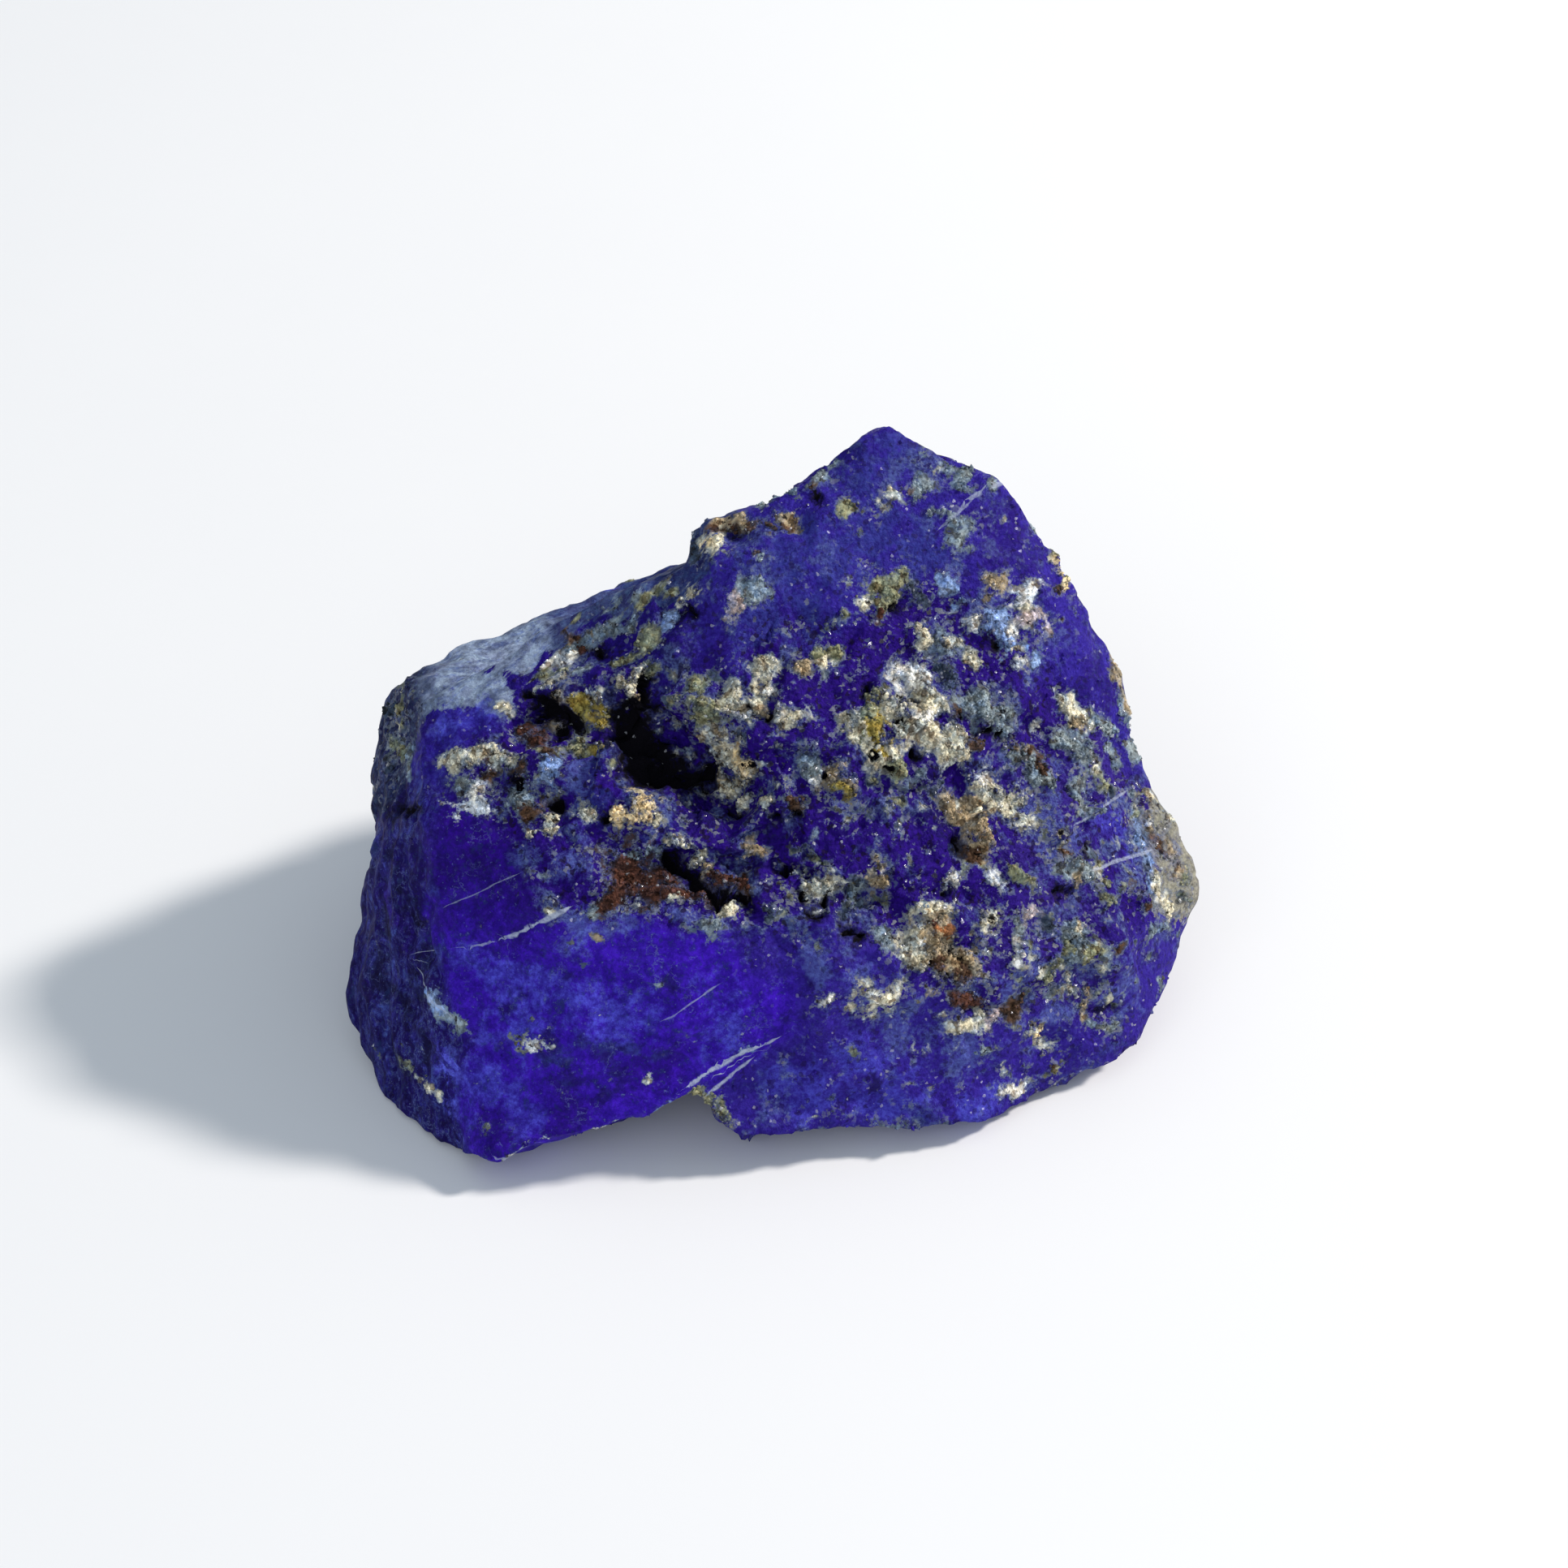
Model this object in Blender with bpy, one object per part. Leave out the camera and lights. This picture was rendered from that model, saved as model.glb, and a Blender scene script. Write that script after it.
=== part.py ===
"""Rough lapis lazuli: one broken lump of rock, as one closed solid that rests on the ground.

The lump is two blocks with flat fracture faces, grown together: a low body with a sloping shelf on
its left, and a summit behind the main face. Where pieces broke out of it, the space between two
planes is missing. Hollows and knobs are stretches along which the surface lies deeper or stands
proud, and gentle noise keeps faces and edges from being perfectly flat and straight.
"""
import math

import bmesh
import bpy
import numpy as np

MM = 0.001

# Places are in millimetres: +X to the right, +Y to the back, +Z up, the origin on the ground
# under the middle of the lump. The heart is a point inside, from which all of the surface is seen.
HEART = np.array([-0.4, -0.75, 14.0])

CORNERS = {
    # bottom edge of the front, from the left foot to the bulge on the right
    "left_foot": (-17.8, -19.9, 1.8),
    "foot_edge": (-12.5, -19.8, 3.7),
    "front_gap": (-6.1, -17.8, 5.2),
    "front_chin": (-2.4, -18.1, 2.5),
    "front_low": (10.6, -16.9, 1.1),
    "front_right": (15.7, -13.6, 1.9),
    "right_low": (23.1, -9.2, 1.6),
    "right_heel": (25.6, -4.8, 3.7),
    "right_bulge": (26.9, -1.8, 8.0),
    "bulge_top": (25.1, 1.2, 12.2),
    # top edge of the front, where it bends into the main face
    "left_ridge_low": (-20.3, -14.8, 6.2),
    "left_ridge_middle": (-20.8, -11.2, 11.1),
    "left_ridge_top": (-21.6, -5.8, 18.2),
    "brow_left": (-12.4, -11.8, 16.2),
    "brow_middle": (1.5, -13.2, 14.9),
    "brow_right": (11.2, -13.2, 10.6),
    "brow_end": (21.7, -7.8, 9.9),
    # main face
    "main_left": (-17.4, -6.8, 19.0),
    "main_middle": (2.8, -1.2, 20.9),
    "main_high": (11.3, 5.8, 28.1),
    "main_side": (19.0, -0.2, 18.1),
    # sloping shelf at the top left
    "shelf_front": (-21.9, 1.2, 21.1),
    "shelf_left": (-22.6, 5.2, 20.3),
    "shelf_middle": (-14.4, 11.8, 21.0),
    "shelf_end": (-5.8, 15.8, 21.2),
    # summit
    "rim": (-13.4, 6.2, 23.6),
    "knob_foot": (-5.4, 10.8, 24.8),
    "shoulder_left": (3.3, 11.8, 32.1),
    "peak": (6.7, 11.4, 35.3),
    "shoulder_right": (14.3, 10.2, 32.1),
    "right_edge_high": (17.6, 8.2, 27.5),
    "right_edge_middle": (20.9, 6.2, 22.0),
    "right_edge_low": (23.4, 3.2, 16.6),
    # left side
    "side_top": (-24.8, 6.2, 17.7),
    "side_high": (-25.6, 3.8, 14.8),
    "side_middle": (-26.0, -2.8, 6.8),
    "side_low": (-26.8, -6.8, 2.7),
    "side_foot": (-25.3, -11.2, -0.4),
    "side_floor": (-20.6, -16.8, 0.3),
    # back
    "back_left": (-23.9, 9.2, 14.0),
    "back_left_low": (-22.4, 10.2, 5.0),
    "back_shelf": (-8.4, 18.8, 16.0),
    "back_middle": (-1.4, 19.8, 9.0),
    "back_top": (6.6, 18.2, 27.0),
    "back_top_right": (15.6, 14.8, 23.0),
    "back_right": (22.1, 7.2, 9.0),
    "back_right_low": (17.6, 13.2, 6.0),
    # underside, a little below the ground that cuts it off flat
    "base_left": (-21.9, -7.8, -0.8),
    "base_front_left": (-15.4, -14.2, -0.8),
    "base_front_right": (9.6, -10.8, -0.8),
    "base_right": (16.6, -4.8, -0.8),
    "base_back_right": (13.6, 9.2, -0.8),
    "base_back_left": (-11.4, 11.2, -0.8),
}

BODY = [
    "left_foot", "foot_edge", "front_gap", "front_chin", "front_low", "front_right", "right_low",
    "right_heel", "right_bulge", "bulge_top", "left_ridge_low", "left_ridge_middle",
    "left_ridge_top", "brow_left", "brow_middle", "brow_right", "brow_end", "shelf_front",
    "shelf_left", "shelf_middle", "shelf_end", "side_top", "side_high", "side_middle", "side_low",
    "side_foot", "side_floor", "back_left", "back_left_low", "back_shelf", "back_middle",
    "back_right", "back_right_low", "base_left", "base_front_left", "base_front_right",
    "base_right", "base_back_right", "base_back_left",
]
SUMMIT = [
    "brow_left", "brow_middle", "brow_right", "brow_end", "main_left", "main_middle", "main_high",
    "main_side", "left_ridge_top", "shelf_front", "rim", "knob_foot", "shoulder_left", "peak",
    "shoulder_right", "right_edge_high", "right_edge_middle", "right_edge_low", "bulge_top",
    "right_bulge", "back_top", "back_top_right", "back_right", "back_right_low", "back_middle",
    "back_shelf", "base_front_right", "base_back_right",
]

# What is missing: each notch lies outside both of its planes. A plane is a point and its normal.
NOTCHES = {
    "gap under the front": [
        ((-17.8, -19.9, 1.8), (0.33, -0.56, -0.76)),
        ((-2.5, -18.1, 2.6), (-0.85, -0.30, -0.40)),
    ],
    "underside of the chin": [
        ((-2.3, -18.1, 2.6), (0.0, -0.50, -0.87)),
        ((-2.3, -18.1, 2.6), (0.75, -0.45, -0.20)),
    ],
    "step from the shelf to the knob": [
        ((-5.4, 10.8, 24.8), (-0.35, 0.53, 0.77)),
        ((-5.4, 10.8, 26.0), (-0.99, 0.0, 0.15)),
    ],
    "saddle between the knob and the peak": [
        ((-2.5, 12.1, 27.4), (-0.20, 0.58, 0.79)),
        ((3.3, 11.8, 32.1), (-0.66, 0.45, 0.60)),
    ],
    "ledge in the left side": [
        ((-25.3, 0.2, 12.7), (-0.80, -0.10, -0.60)),
        ((-25.1, -0.2, 11.4), (-0.92, -0.15, 0.35)),
    ],
}

# Hollows (depth above zero) and lumps (below zero): both ends of the stretch, reach and depth.
RELIEF = {
    "dip beside the peak": ((9.8, 11.2, 34.0), (11.3, 10.8, 33.7), 4.5, 0.7),
    "waist above the bulge": ((23.4, 4.8, 13.3), (23.1, 2.2, 15.4), 4.0, 0.9),
    "dark hollow": ((-7.6, -4.3, 22.1), (-3.6, -6.2, 20.8), 3.6, 4.2),
    "slot above the hollow": ((-7.8, -1.2, 24.3), (-7.8, -2.2, 23.5), 1.5, 1.2),
    "ochre pit": ((-13.6, -2.7, 22.1), (-10.8, -1.8, 23.3), 2.6, 1.8),
    "garnet pit": ((-9.6, -10.4, 17.4), (-2.6, -10.9, 17.0), 2.3, 1.3),
    "valley to the fissure": ((-1.2, -7.7, 19.5), (1.5, -10.4, 17.3), 1.8, 0.8),
    "fissure": ((0.6, -10.9, 16.9), (7.4, -11.5, 14.0), 1.7, 0.9),
    "front furrow": ((1.5, -13.3, 14.4), (1.2, -16.0, 7.5), 1.8, 0.5),
    "groove under the rim": ((-15.7, 1.9, 23.5), (-9.7, 1.3, 25.2), 2.2, 0.5),
    "groove in the knob": ((-2.2, 6.9, 30.0), (1.8, 6.4, 30.9), 1.4, 0.5),
    "left recess": ((-21.7, -8.5, 12.6), (-21.8, -9.9, 10.2), 2.0, 0.9),
    "rusty pit": ((10.4, -11.6, 12.5), (10.4, -12.2, 11.9), 2.2, 0.7),
    "nub beside the hollow": ((-2.4, -5.4, 21.4), (-2.8, -6.3, 20.7), 1.8, -0.9),
    "knob nodule": ((-3.7, 6.9, 29.4), (-3.5, 7.1, 29.4), 1.8, -0.5),
    "calcite mound": ((6.5, -3.1, 22.4), (10.2, -1.7, 22.2), 3.6, -0.6),
    "calcite above the hollow": ((-6.1, -2.4, 23.7), (-5.1, -3.6, 22.8), 2.2, -0.5),
    "pale crystals": ((13.8, 3.7, 25.9), (14.8, 3.0, 24.6), 2.6, -0.4),
    "right rind": ((25.3, -0.9, 10.6), (25.5, -3.1, 8.5), 3.0, -0.4),
}

# How worn and how rough the lump is
EDGE_CRISPNESS = 70.0    # of the edges between fracture faces
JOIN_CRISPNESS = 250.0   # of the crease between the two blocks
FULLNESS = 1.004         # makes up for what the worn edges lose
EDGE_WANDER = (7.0, 0.9)   # width and height of the waves in the edges
SWELL = (9.0, 0.55)        # of the broad waves of the faces
LUMPS = (4.5, 0.3)         # of the small lumps on them
RELIEF_WANDER = (2.6, 1.0)   # of the waves in the outlines of hollows and knobs
FIRST_SEED = 3

GRID_CUTS = 25        # cuts in each edge of the cube that becomes the lump
SPREAD_ROUNDS = 14    # rounds that even out the spacing of the grid
GROUND_SNAP = 1e-4    # mm, below which a point lies on the ground

LAPIS_BLUE = (0.035, 0.030, 0.260, 1.0)
LAPIS_ROUGHNESS = 0.55
SOFT_ANGLE = 32.0     # degrees between faces, up to which they are shaded as one


def wave_noise(points, width, seed):
    """Smooth noise of about -1 to 1 at the points, from random slopes at the corners of a grid."""
    random = np.random.default_rng(seed)
    order = np.tile(random.permutation(256), 2)
    slopes = random.normal(size=(256, 3))
    slopes /= np.linalg.norm(slopes, axis=1, keepdims=True)
    cell = np.floor(points / width).astype(int)
    inside = points / width - cell
    cell &= 255
    ease = inside ** 3 * (inside * (inside * 6 - 15) + 10)
    total = np.zeros(len(points))
    for step in np.ndindex(2, 2, 2):
        x, y, z = (cell + step).T & 255
        slope = slopes[order[order[order[x] + y] + z]]
        share = np.prod(np.where(step, ease, 1 - ease), axis=1)
        total += share * np.sum(slope * (inside - step), axis=1)
    return 1.6 * total


def waves(points, width_and_height, seed):
    """Three different noises at the points, as a shift in x, y and z."""
    width, height = width_and_height
    shifts = [wave_noise(points, width, seed + axis) for axis in range(3)]
    return height * np.stack(shifts, axis=1)


def fracture_planes(names):
    """Normals of a block's faces and their distances from the heart, from its corners."""
    block = bmesh.new()
    for name in names:
        block.verts.new(CORNERS[name])
    bmesh.ops.convex_hull(block, input=block.verts)
    block.normal_update()
    planes = []
    for face in block.faces:
        normal = np.array(face.normal)
        distance = normal @ (np.array(face.verts[0].co) - HEART)
        planes.append(np.append(normal, distance) * np.sign(distance))
    block.free()
    planes = np.unique(np.round(planes, 5), axis=0)
    return planes[:, :3], planes[:, 3]


BLOCKS = [fracture_planes(BODY), fracture_planes(SUMMIT)]


def block_reach(directions, planes):
    """How far a block reaches from the heart in each direction, with worn edges."""
    normals, distances = planes
    nearness = np.maximum(directions @ normals.T / distances, 0)
    return np.sum(nearness ** EDGE_CRISPNESS, axis=1) ** (-1 / EDGE_CRISPNESS)


def broken_reach(directions):
    """Reach of the two blocks grown together, less the notches that broke out of them."""
    body, summit = (block_reach(directions, planes) for planes in BLOCKS)
    longest = np.maximum(body, summit)
    shares = (body / longest) ** JOIN_CRISPNESS + (summit / longest) ** JOIN_CRISPNESS
    reach = FULLNESS * longest * shares ** (1 / JOIN_CRISPNESS)
    for planes in NOTCHES.values():
        limit = np.zeros(len(directions))
        for point, normal in planes:
            normal = np.array(normal) / np.linalg.norm(normal)
            distance = normal @ (np.array(point) - HEART)
            limit = np.maximum(limit, distance / np.maximum(directions @ normal, 1e-6))
        reach = np.minimum(reach, limit)
    return reach


def relief_depth(points, start, end, reach, depth):
    """Depth at the points of one hollow, or of one lump, along its stretch."""
    start = np.array(start)
    along = np.array(end) - start
    share = np.clip((points - start) @ along / (along @ along), 0, 1)
    distance = np.linalg.norm(points - start - share[:, None] * along, axis=1)
    return depth * np.clip(1 - (distance / reach) ** 2, 0, 1) ** 1.5


def stone_points(directions):
    """Points of the finished surface in the given directions from the heart, in millimetres."""
    points = HEART + directions * broken_reach(directions)[:, None]
    turned = points + waves(points, EDGE_WANDER, FIRST_SEED) - HEART
    turned /= np.linalg.norm(turned, axis=1, keepdims=True)
    reach = broken_reach(turned)
    points = HEART + directions * reach[:, None]
    for number, (width, height) in enumerate((SWELL, LUMPS)):
        reach += height * wave_noise(points, width, FIRST_SEED + 10 + number)
    points += waves(points, RELIEF_WANDER, FIRST_SEED + 20)
    for feature in RELIEF.values():
        reach -= relief_depth(points, *feature)
    down = np.minimum(directions[:, 2], -1e-6)
    reach = np.minimum(reach, np.where(directions[:, 2] < 0, -HEART[2] / down, np.inf))
    points = HEART + directions * reach[:, None]
    points[points[:, 2] < GROUND_SNAP, 2] = 0.0
    return points


def lay_on_stone(grid):
    """Move each vertex of the grid along its line from the heart to the stone's surface."""
    places = np.array([vertex.co for vertex in grid.verts], dtype=float)
    directions = places - HEART
    directions /= np.linalg.norm(directions, axis=1, keepdims=True)
    for vertex, place in zip(grid.verts, stone_points(directions)):
        vertex.co = place


def stone_mesh():
    """A cube's grid laid on the surface and evened out, in metres."""
    grid = bmesh.new()
    bmesh.ops.create_cube(grid, size=2.0)
    bmesh.ops.subdivide_edges(grid, edges=grid.edges, cuts=GRID_CUTS, use_grid_fill=True)
    for vertex in grid.verts:
        vertex.co = HEART + np.tan(np.array(vertex.co) * math.pi / 4)
    for _ in range(SPREAD_ROUNDS):
        lay_on_stone(grid)
        bmesh.ops.smooth_vert(
            grid, verts=grid.verts, factor=0.5, use_axis_x=True, use_axis_y=True, use_axis_z=True)
    lay_on_stone(grid)
    bmesh.ops.triangulate(grid, faces=grid.faces, quad_method="SHORT_EDGE")
    bmesh.ops.recalc_face_normals(grid, faces=grid.faces)
    bmesh.ops.scale(grid, vec=(MM, MM, MM), verts=grid.verts)
    mesh = bpy.data.meshes.new("lapis_stone")
    grid.to_mesh(mesh)
    grid.free()
    mesh.shade_smooth()
    mesh.set_sharp_from_angle(angle=math.radians(SOFT_ANGLE))
    return mesh


def lapis_material():
    """Deep blue, slightly rough stone."""
    material = bpy.data.materials.new("lapis")
    material.use_nodes = True
    shader = material.node_tree.nodes["Principled BSDF"]
    shader.inputs["Base Color"].default_value = LAPIS_BLUE
    shader.inputs["Roughness"].default_value = LAPIS_ROUGHNESS
    shader.inputs["Metallic"].default_value = 0.0
    return material


for leftover in list(bpy.data.objects):
    bpy.data.objects.remove(leftover, do_unlink=True)

stone = bpy.data.objects.new("lapis_stone", stone_mesh())
stone.data.materials.append(lapis_material())
bpy.context.scene.collection.objects.link(stone)
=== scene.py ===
"""Rough lapis lazuli: a broken lump of blue rock with calcite, garnet-brown and olive minerals.

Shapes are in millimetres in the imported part's frame: +X to the right, +Y to the back, +Z up, with
the origin on the ground under the middle of the lump. What lies on its near side is placed as the
camera sees it, in steps of its view, and a line of sight carries each place onto the stone.
"""

import math

import bmesh
import bpy
import numpy as np
from mathutils.bvhtree import BVHTree
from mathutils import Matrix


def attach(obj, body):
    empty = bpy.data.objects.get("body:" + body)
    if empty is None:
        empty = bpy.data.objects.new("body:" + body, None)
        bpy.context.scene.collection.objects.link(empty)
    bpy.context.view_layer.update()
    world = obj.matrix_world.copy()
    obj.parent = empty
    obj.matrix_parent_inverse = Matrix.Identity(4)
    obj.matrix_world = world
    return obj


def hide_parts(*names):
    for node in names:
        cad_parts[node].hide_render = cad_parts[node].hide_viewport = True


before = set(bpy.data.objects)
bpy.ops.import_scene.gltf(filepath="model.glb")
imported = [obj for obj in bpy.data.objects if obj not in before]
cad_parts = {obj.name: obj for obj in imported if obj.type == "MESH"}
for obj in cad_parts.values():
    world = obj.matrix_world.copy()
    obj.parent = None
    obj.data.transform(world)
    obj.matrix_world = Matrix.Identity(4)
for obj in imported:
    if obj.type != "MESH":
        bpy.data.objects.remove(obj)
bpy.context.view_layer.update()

# ---------------------------------------------------------------------------------------------
# The camera: 40 degrees above the floor, straight in front of the stone. Its view is 1932 steps
# wide and high, and in the distance of the stone a step is a twentieth of a millimetre.

MM = 0.001
AIM = np.array([0.6, -1.75, 17.0])     # mm, what it looks at
DISTANCE = 230.0                       # mm, from there
HEIGHT_ANGLE = math.radians(40)
LENS = 85.0                            # mm, its focal length
SENSOR = 36.0                          # mm, the width of what the lens throws its view on
NEAREST_SEEN = 0.01                    # m
VIEW_STEPS = 1932

UPWARDS = np.array([0, math.sin(HEIGHT_ANGLE), math.cos(HEIGHT_ANGLE)])
ONWARDS = np.array([0, math.cos(HEIGHT_ANGLE), -math.sin(HEIGHT_ANGLE)])
STANDPOINT = AIM - DISTANCE * ONWARDS
STEP = SENSOR / LENS / VIEW_STEPS      # of the view, for each unit of distance


def placed(name, data):
    """A new object in the scene, at the origin, unturned and unscaled, until it is moved."""
    thing = bpy.data.objects.new(name, data)
    bpy.context.scene.collection.objects.link(thing)
    return thing


camera_data = bpy.data.cameras.new("camera")
camera_data.lens = LENS
camera_data.sensor_width = SENSOR
camera_data.clip_start = NEAREST_SEEN
camera = placed("camera", camera_data)
camera.location = STANDPOINT * MM
camera.rotation_euler = (math.pi / 2 - HEIGHT_ANGLE, 0, 0)
bpy.context.scene.camera = camera

# ---------------------------------------------------------------------------------------------
# The stone: one lump of lapis lazuli, broken out of the rock and left as it fell. Its flat faces
# are fractures, its blue is lazurite, and the calcite, garnet and olive grains grew in the same
# rock. All of it is one skin, on which the minerals are places with their own colour and grain.

# The heart is a point inside, from which all of the surface is seen.
HEART = np.array([-0.4, -0.75, 14.0])

# Corners of the body alone, of the summit alone, and of both
BODY_CORNERS = {
    # bottom edge of the front, from the left foot to the bulge on the right
    "left_foot": (-17.8, -19.9, 1.8),
    "foot_edge": (-12.5, -19.8, 3.7),
    "front_gap": (-6.1, -17.8, 5.2),
    "front_chin": (-2.4, -18.1, 2.5),
    "front_low": (10.6, -16.9, 1.1),
    "front_right": (15.7, -13.6, 1.9),
    "right_low": (23.1, -9.2, 1.6),
    "right_heel": (25.6, -4.8, 3.7),
    # top edge of the front, where it bends into the main face
    "left_ridge_low": (-20.3, -14.8, 6.2),
    "left_ridge_middle": (-20.8, -11.2, 11.1),
    # sloping shelf at the top left
    "shelf_left": (-22.6, 5.2, 20.3),
    "shelf_middle": (-14.4, 11.8, 21.0),
    "shelf_end": (-5.8, 15.8, 21.2),
    # left side
    "side_top": (-24.8, 6.2, 17.7),
    "side_high": (-25.6, 3.8, 14.8),
    "side_middle": (-26.0, -2.8, 6.8),
    "side_low": (-26.8, -6.8, 2.7),
    "side_foot": (-25.3, -11.2, -0.4),
    "side_floor": (-20.6, -16.8, 0.3),
    # back
    "back_left": (-23.9, 9.2, 14.0),
    "back_left_low": (-22.4, 10.2, 5.0),
    # underside, a little below the ground that cuts it off flat
    "base_left": (-21.9, -7.8, -0.8),
    "base_front_left": (-15.4, -14.2, -0.8),
    "base_right": (16.6, -4.8, -0.8),
    "base_back_left": (-11.4, 11.2, -0.8),
}
SUMMIT_CORNERS = {
    # main face
    "main_left": (-17.4, -6.8, 19.0),
    "main_middle": (2.8, -1.2, 20.9),
    "main_high": (11.3, 5.8, 28.1),
    "main_side": (19.0, -0.2, 18.1),
    # summit
    "rim": (-13.4, 6.2, 23.6),
    "knob_foot": (-5.4, 10.8, 24.8),
    "shoulder_left": (3.3, 11.8, 32.1),
    "peak": (6.7, 11.4, 35.3),
    "shoulder_right": (14.3, 10.2, 32.1),
    "right_edge_high": (17.6, 8.2, 27.5),
    "right_edge_middle": (20.9, 6.2, 22.0),
    "right_edge_low": (23.4, 3.2, 16.6),
    # back
    "back_top": (6.6, 18.2, 27.0),
    "back_top_right": (15.6, 14.8, 23.0),
}
SHARED_CORNERS = {
    # bottom edge of the front, from the left foot to the bulge on the right
    "right_bulge": (26.9, -1.8, 8.0),
    "bulge_top": (25.1, 1.2, 12.2),
    # top edge of the front, where it bends into the main face
    "left_ridge_top": (-21.6, -5.8, 18.2),
    "brow_left": (-12.4, -11.8, 16.2),
    "brow_middle": (1.5, -13.2, 14.9),
    "brow_right": (11.2, -13.2, 10.6),
    "brow_end": (21.7, -7.8, 9.9),
    # sloping shelf at the top left
    "shelf_front": (-21.9, 1.2, 21.1),
    # back
    "back_shelf": (-8.4, 18.8, 16.0),
    "back_middle": (-1.4, 19.8, 9.0),
    "back_right": (22.1, 7.2, 9.0),
    "back_right_low": (17.6, 13.2, 6.0),
    # underside, a little below the ground that cuts it off flat
    "base_front_right": (9.6, -10.8, -0.8),
    "base_back_right": (13.6, 9.2, -0.8),
}

# What is missing: each notch lies outside both of its planes. A plane is a point and its normal.
NOTCHES = {
    "gap under the front": [
        ((-17.8, -19.9, 1.8), (0.33, -0.56, -0.76)),
        ((-2.5, -18.1, 2.6), (-0.85, -0.30, -0.40)),
    ],
    "underside of the chin": [
        ((-2.3, -18.1, 2.6), (0.0, -0.50, -0.87)),
        ((-2.3, -18.1, 2.6), (0.75, -0.45, -0.20)),
    ],
    "step from the shelf to the knob": [
        ((-5.4, 10.8, 24.8), (-0.35, 0.53, 0.77)),
        ((-5.4, 10.8, 26.0), (-0.99, 0.0, 0.15)),
    ],
    "saddle between the knob and the peak": [
        ((-2.5, 12.1, 27.4), (-0.20, 0.58, 0.79)),
        ((3.3, 11.8, 32.1), (-0.66, 0.45, 0.60)),
    ],
    "ledge in the left side": [
        ((-25.3, 0.2, 12.7), (-0.80, -0.10, -0.60)),
        ((-25.1, -0.2, 11.4), (-0.92, -0.15, 0.35)),
    ],
}

# Hollows (depth above zero) and lumps (below zero): both ends of the stretch, reach and depth.
RELIEF = {
    "dip beside the peak": ((9.8, 11.2, 34.0), (11.3, 10.8, 33.7), 4.5, 0.7),
    "waist above the bulge": ((23.4, 4.8, 13.3), (23.1, 2.2, 15.4), 4.0, 0.9),
    "dark hollow": ((-7.6, -4.3, 22.1), (-3.6, -6.2, 20.8), 3.6, 4.2),
    "slot above the hollow": ((-7.8, -1.2, 24.3), (-7.8, -2.2, 23.5), 1.5, 1.2),
    "ochre pit": ((-13.6, -2.7, 22.1), (-10.8, -1.8, 23.3), 2.6, 1.8),
    "garnet pit": ((-9.6, -10.4, 17.4), (-2.6, -10.9, 17.0), 2.3, 1.3),
    "valley to the fissure": ((-1.2, -7.7, 19.5), (1.5, -10.4, 17.3), 1.8, 0.8),
    "fissure": ((0.6, -10.9, 16.9), (7.4, -11.5, 14.0), 1.7, 0.9),
    "front furrow": ((1.5, -13.3, 14.4), (1.2, -16.0, 7.5), 1.8, 0.5),
    "groove under the rim": ((-15.7, 1.9, 23.5), (-9.7, 1.3, 25.2), 2.2, 0.5),
    "groove in the knob": ((-2.2, 6.9, 30.0), (1.8, 6.4, 30.9), 1.4, 0.5),
    "left recess": ((-21.7, -8.5, 12.6), (-21.8, -9.9, 10.2), 2.0, 0.9),
    "rusty pit": ((10.4, -11.6, 12.5), (10.4, -12.2, 11.9), 2.2, 0.7),
    "nub beside the hollow": ((-2.4, -5.4, 21.4), (-2.8, -6.3, 20.7), 1.8, -0.9),
    "knob nodule": ((-3.7, 6.9, 29.4), (-3.5, 7.1, 29.4), 1.8, -0.5),
    "calcite mound": ((6.5, -3.1, 22.4), (10.2, -1.7, 22.2), 3.6, -0.6),
    "calcite above the hollow": ((-6.1, -2.4, 23.7), (-5.1, -3.6, 22.8), 2.2, -0.5),
    "pale crystals": ((13.8, 3.7, 25.9), (14.8, 3.0, 24.6), 2.6, -0.4),
    "right rind": ((25.3, -0.9, 10.6), (25.5, -3.1, 8.5), 3.0, -0.4),
}

# How worn and how rough the lump is
EDGE_CRISPNESS = 150.0   # of the edges between fracture faces
JOIN_CRISPNESS = 250.0   # of the crease between the two blocks
FULLNESS = 0.999         # makes up for what the worn edges lose
EDGE_WANDER = (7.0, 0.9)   # width and height of the waves in the edges
EDGE_CHIPS = [((2.2, 0.32), 33), ((0.9, 0.14), 43)]   # smaller waves, and their seeds
SWELL = (9.0, 0.55)        # of the broad waves of the faces
LUMPS = (4.5, 0.3)         # of the small lumps on them
RELIEF_WANDER = (2.6, 1.0)   # of the waves in the outlines of hollows and knobs
FIRST_SEED = 3
GROUND_SNAP = 1e-4    # mm, below which a point lies on the ground


def wave_noise(points, width, seed):
    """Smooth noise of about -1 to 1 at the points, from random slopes at the corners of a grid."""
    random = np.random.default_rng(seed)
    order = np.tile(random.permutation(256), 2)
    slopes = random.normal(size=(256, 3))
    slopes /= np.linalg.norm(slopes, axis=1, keepdims=True)
    cell = np.floor(points / width).astype(int)
    inside = points / width - cell
    cell &= 255
    ease = inside ** 3 * (inside * (inside * 6 - 15) + 10)
    total = np.zeros(len(points))
    for step in np.ndindex(2, 2, 2):
        x, y, z = (cell + step).T & 255
        slope = slopes[order[order[order[x] + y] + z]]
        share = np.prod(np.where(step, ease, 1 - ease), axis=1)
        total += share * np.sum(slope * (inside - step), axis=1)
    return 1.6 * total


def swell(points, width, height, seed):
    """The same noise, from about minus the height to the height."""
    return height * wave_noise(points, width, seed)


def waves(points, width_and_height, seed):
    """Three different noises at the points, as a shift in x, y and z."""
    width, height = width_and_height
    shifts = [wave_noise(points, width, seed + axis) for axis in range(3)]
    return height * np.stack(shifts, axis=1)


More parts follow.
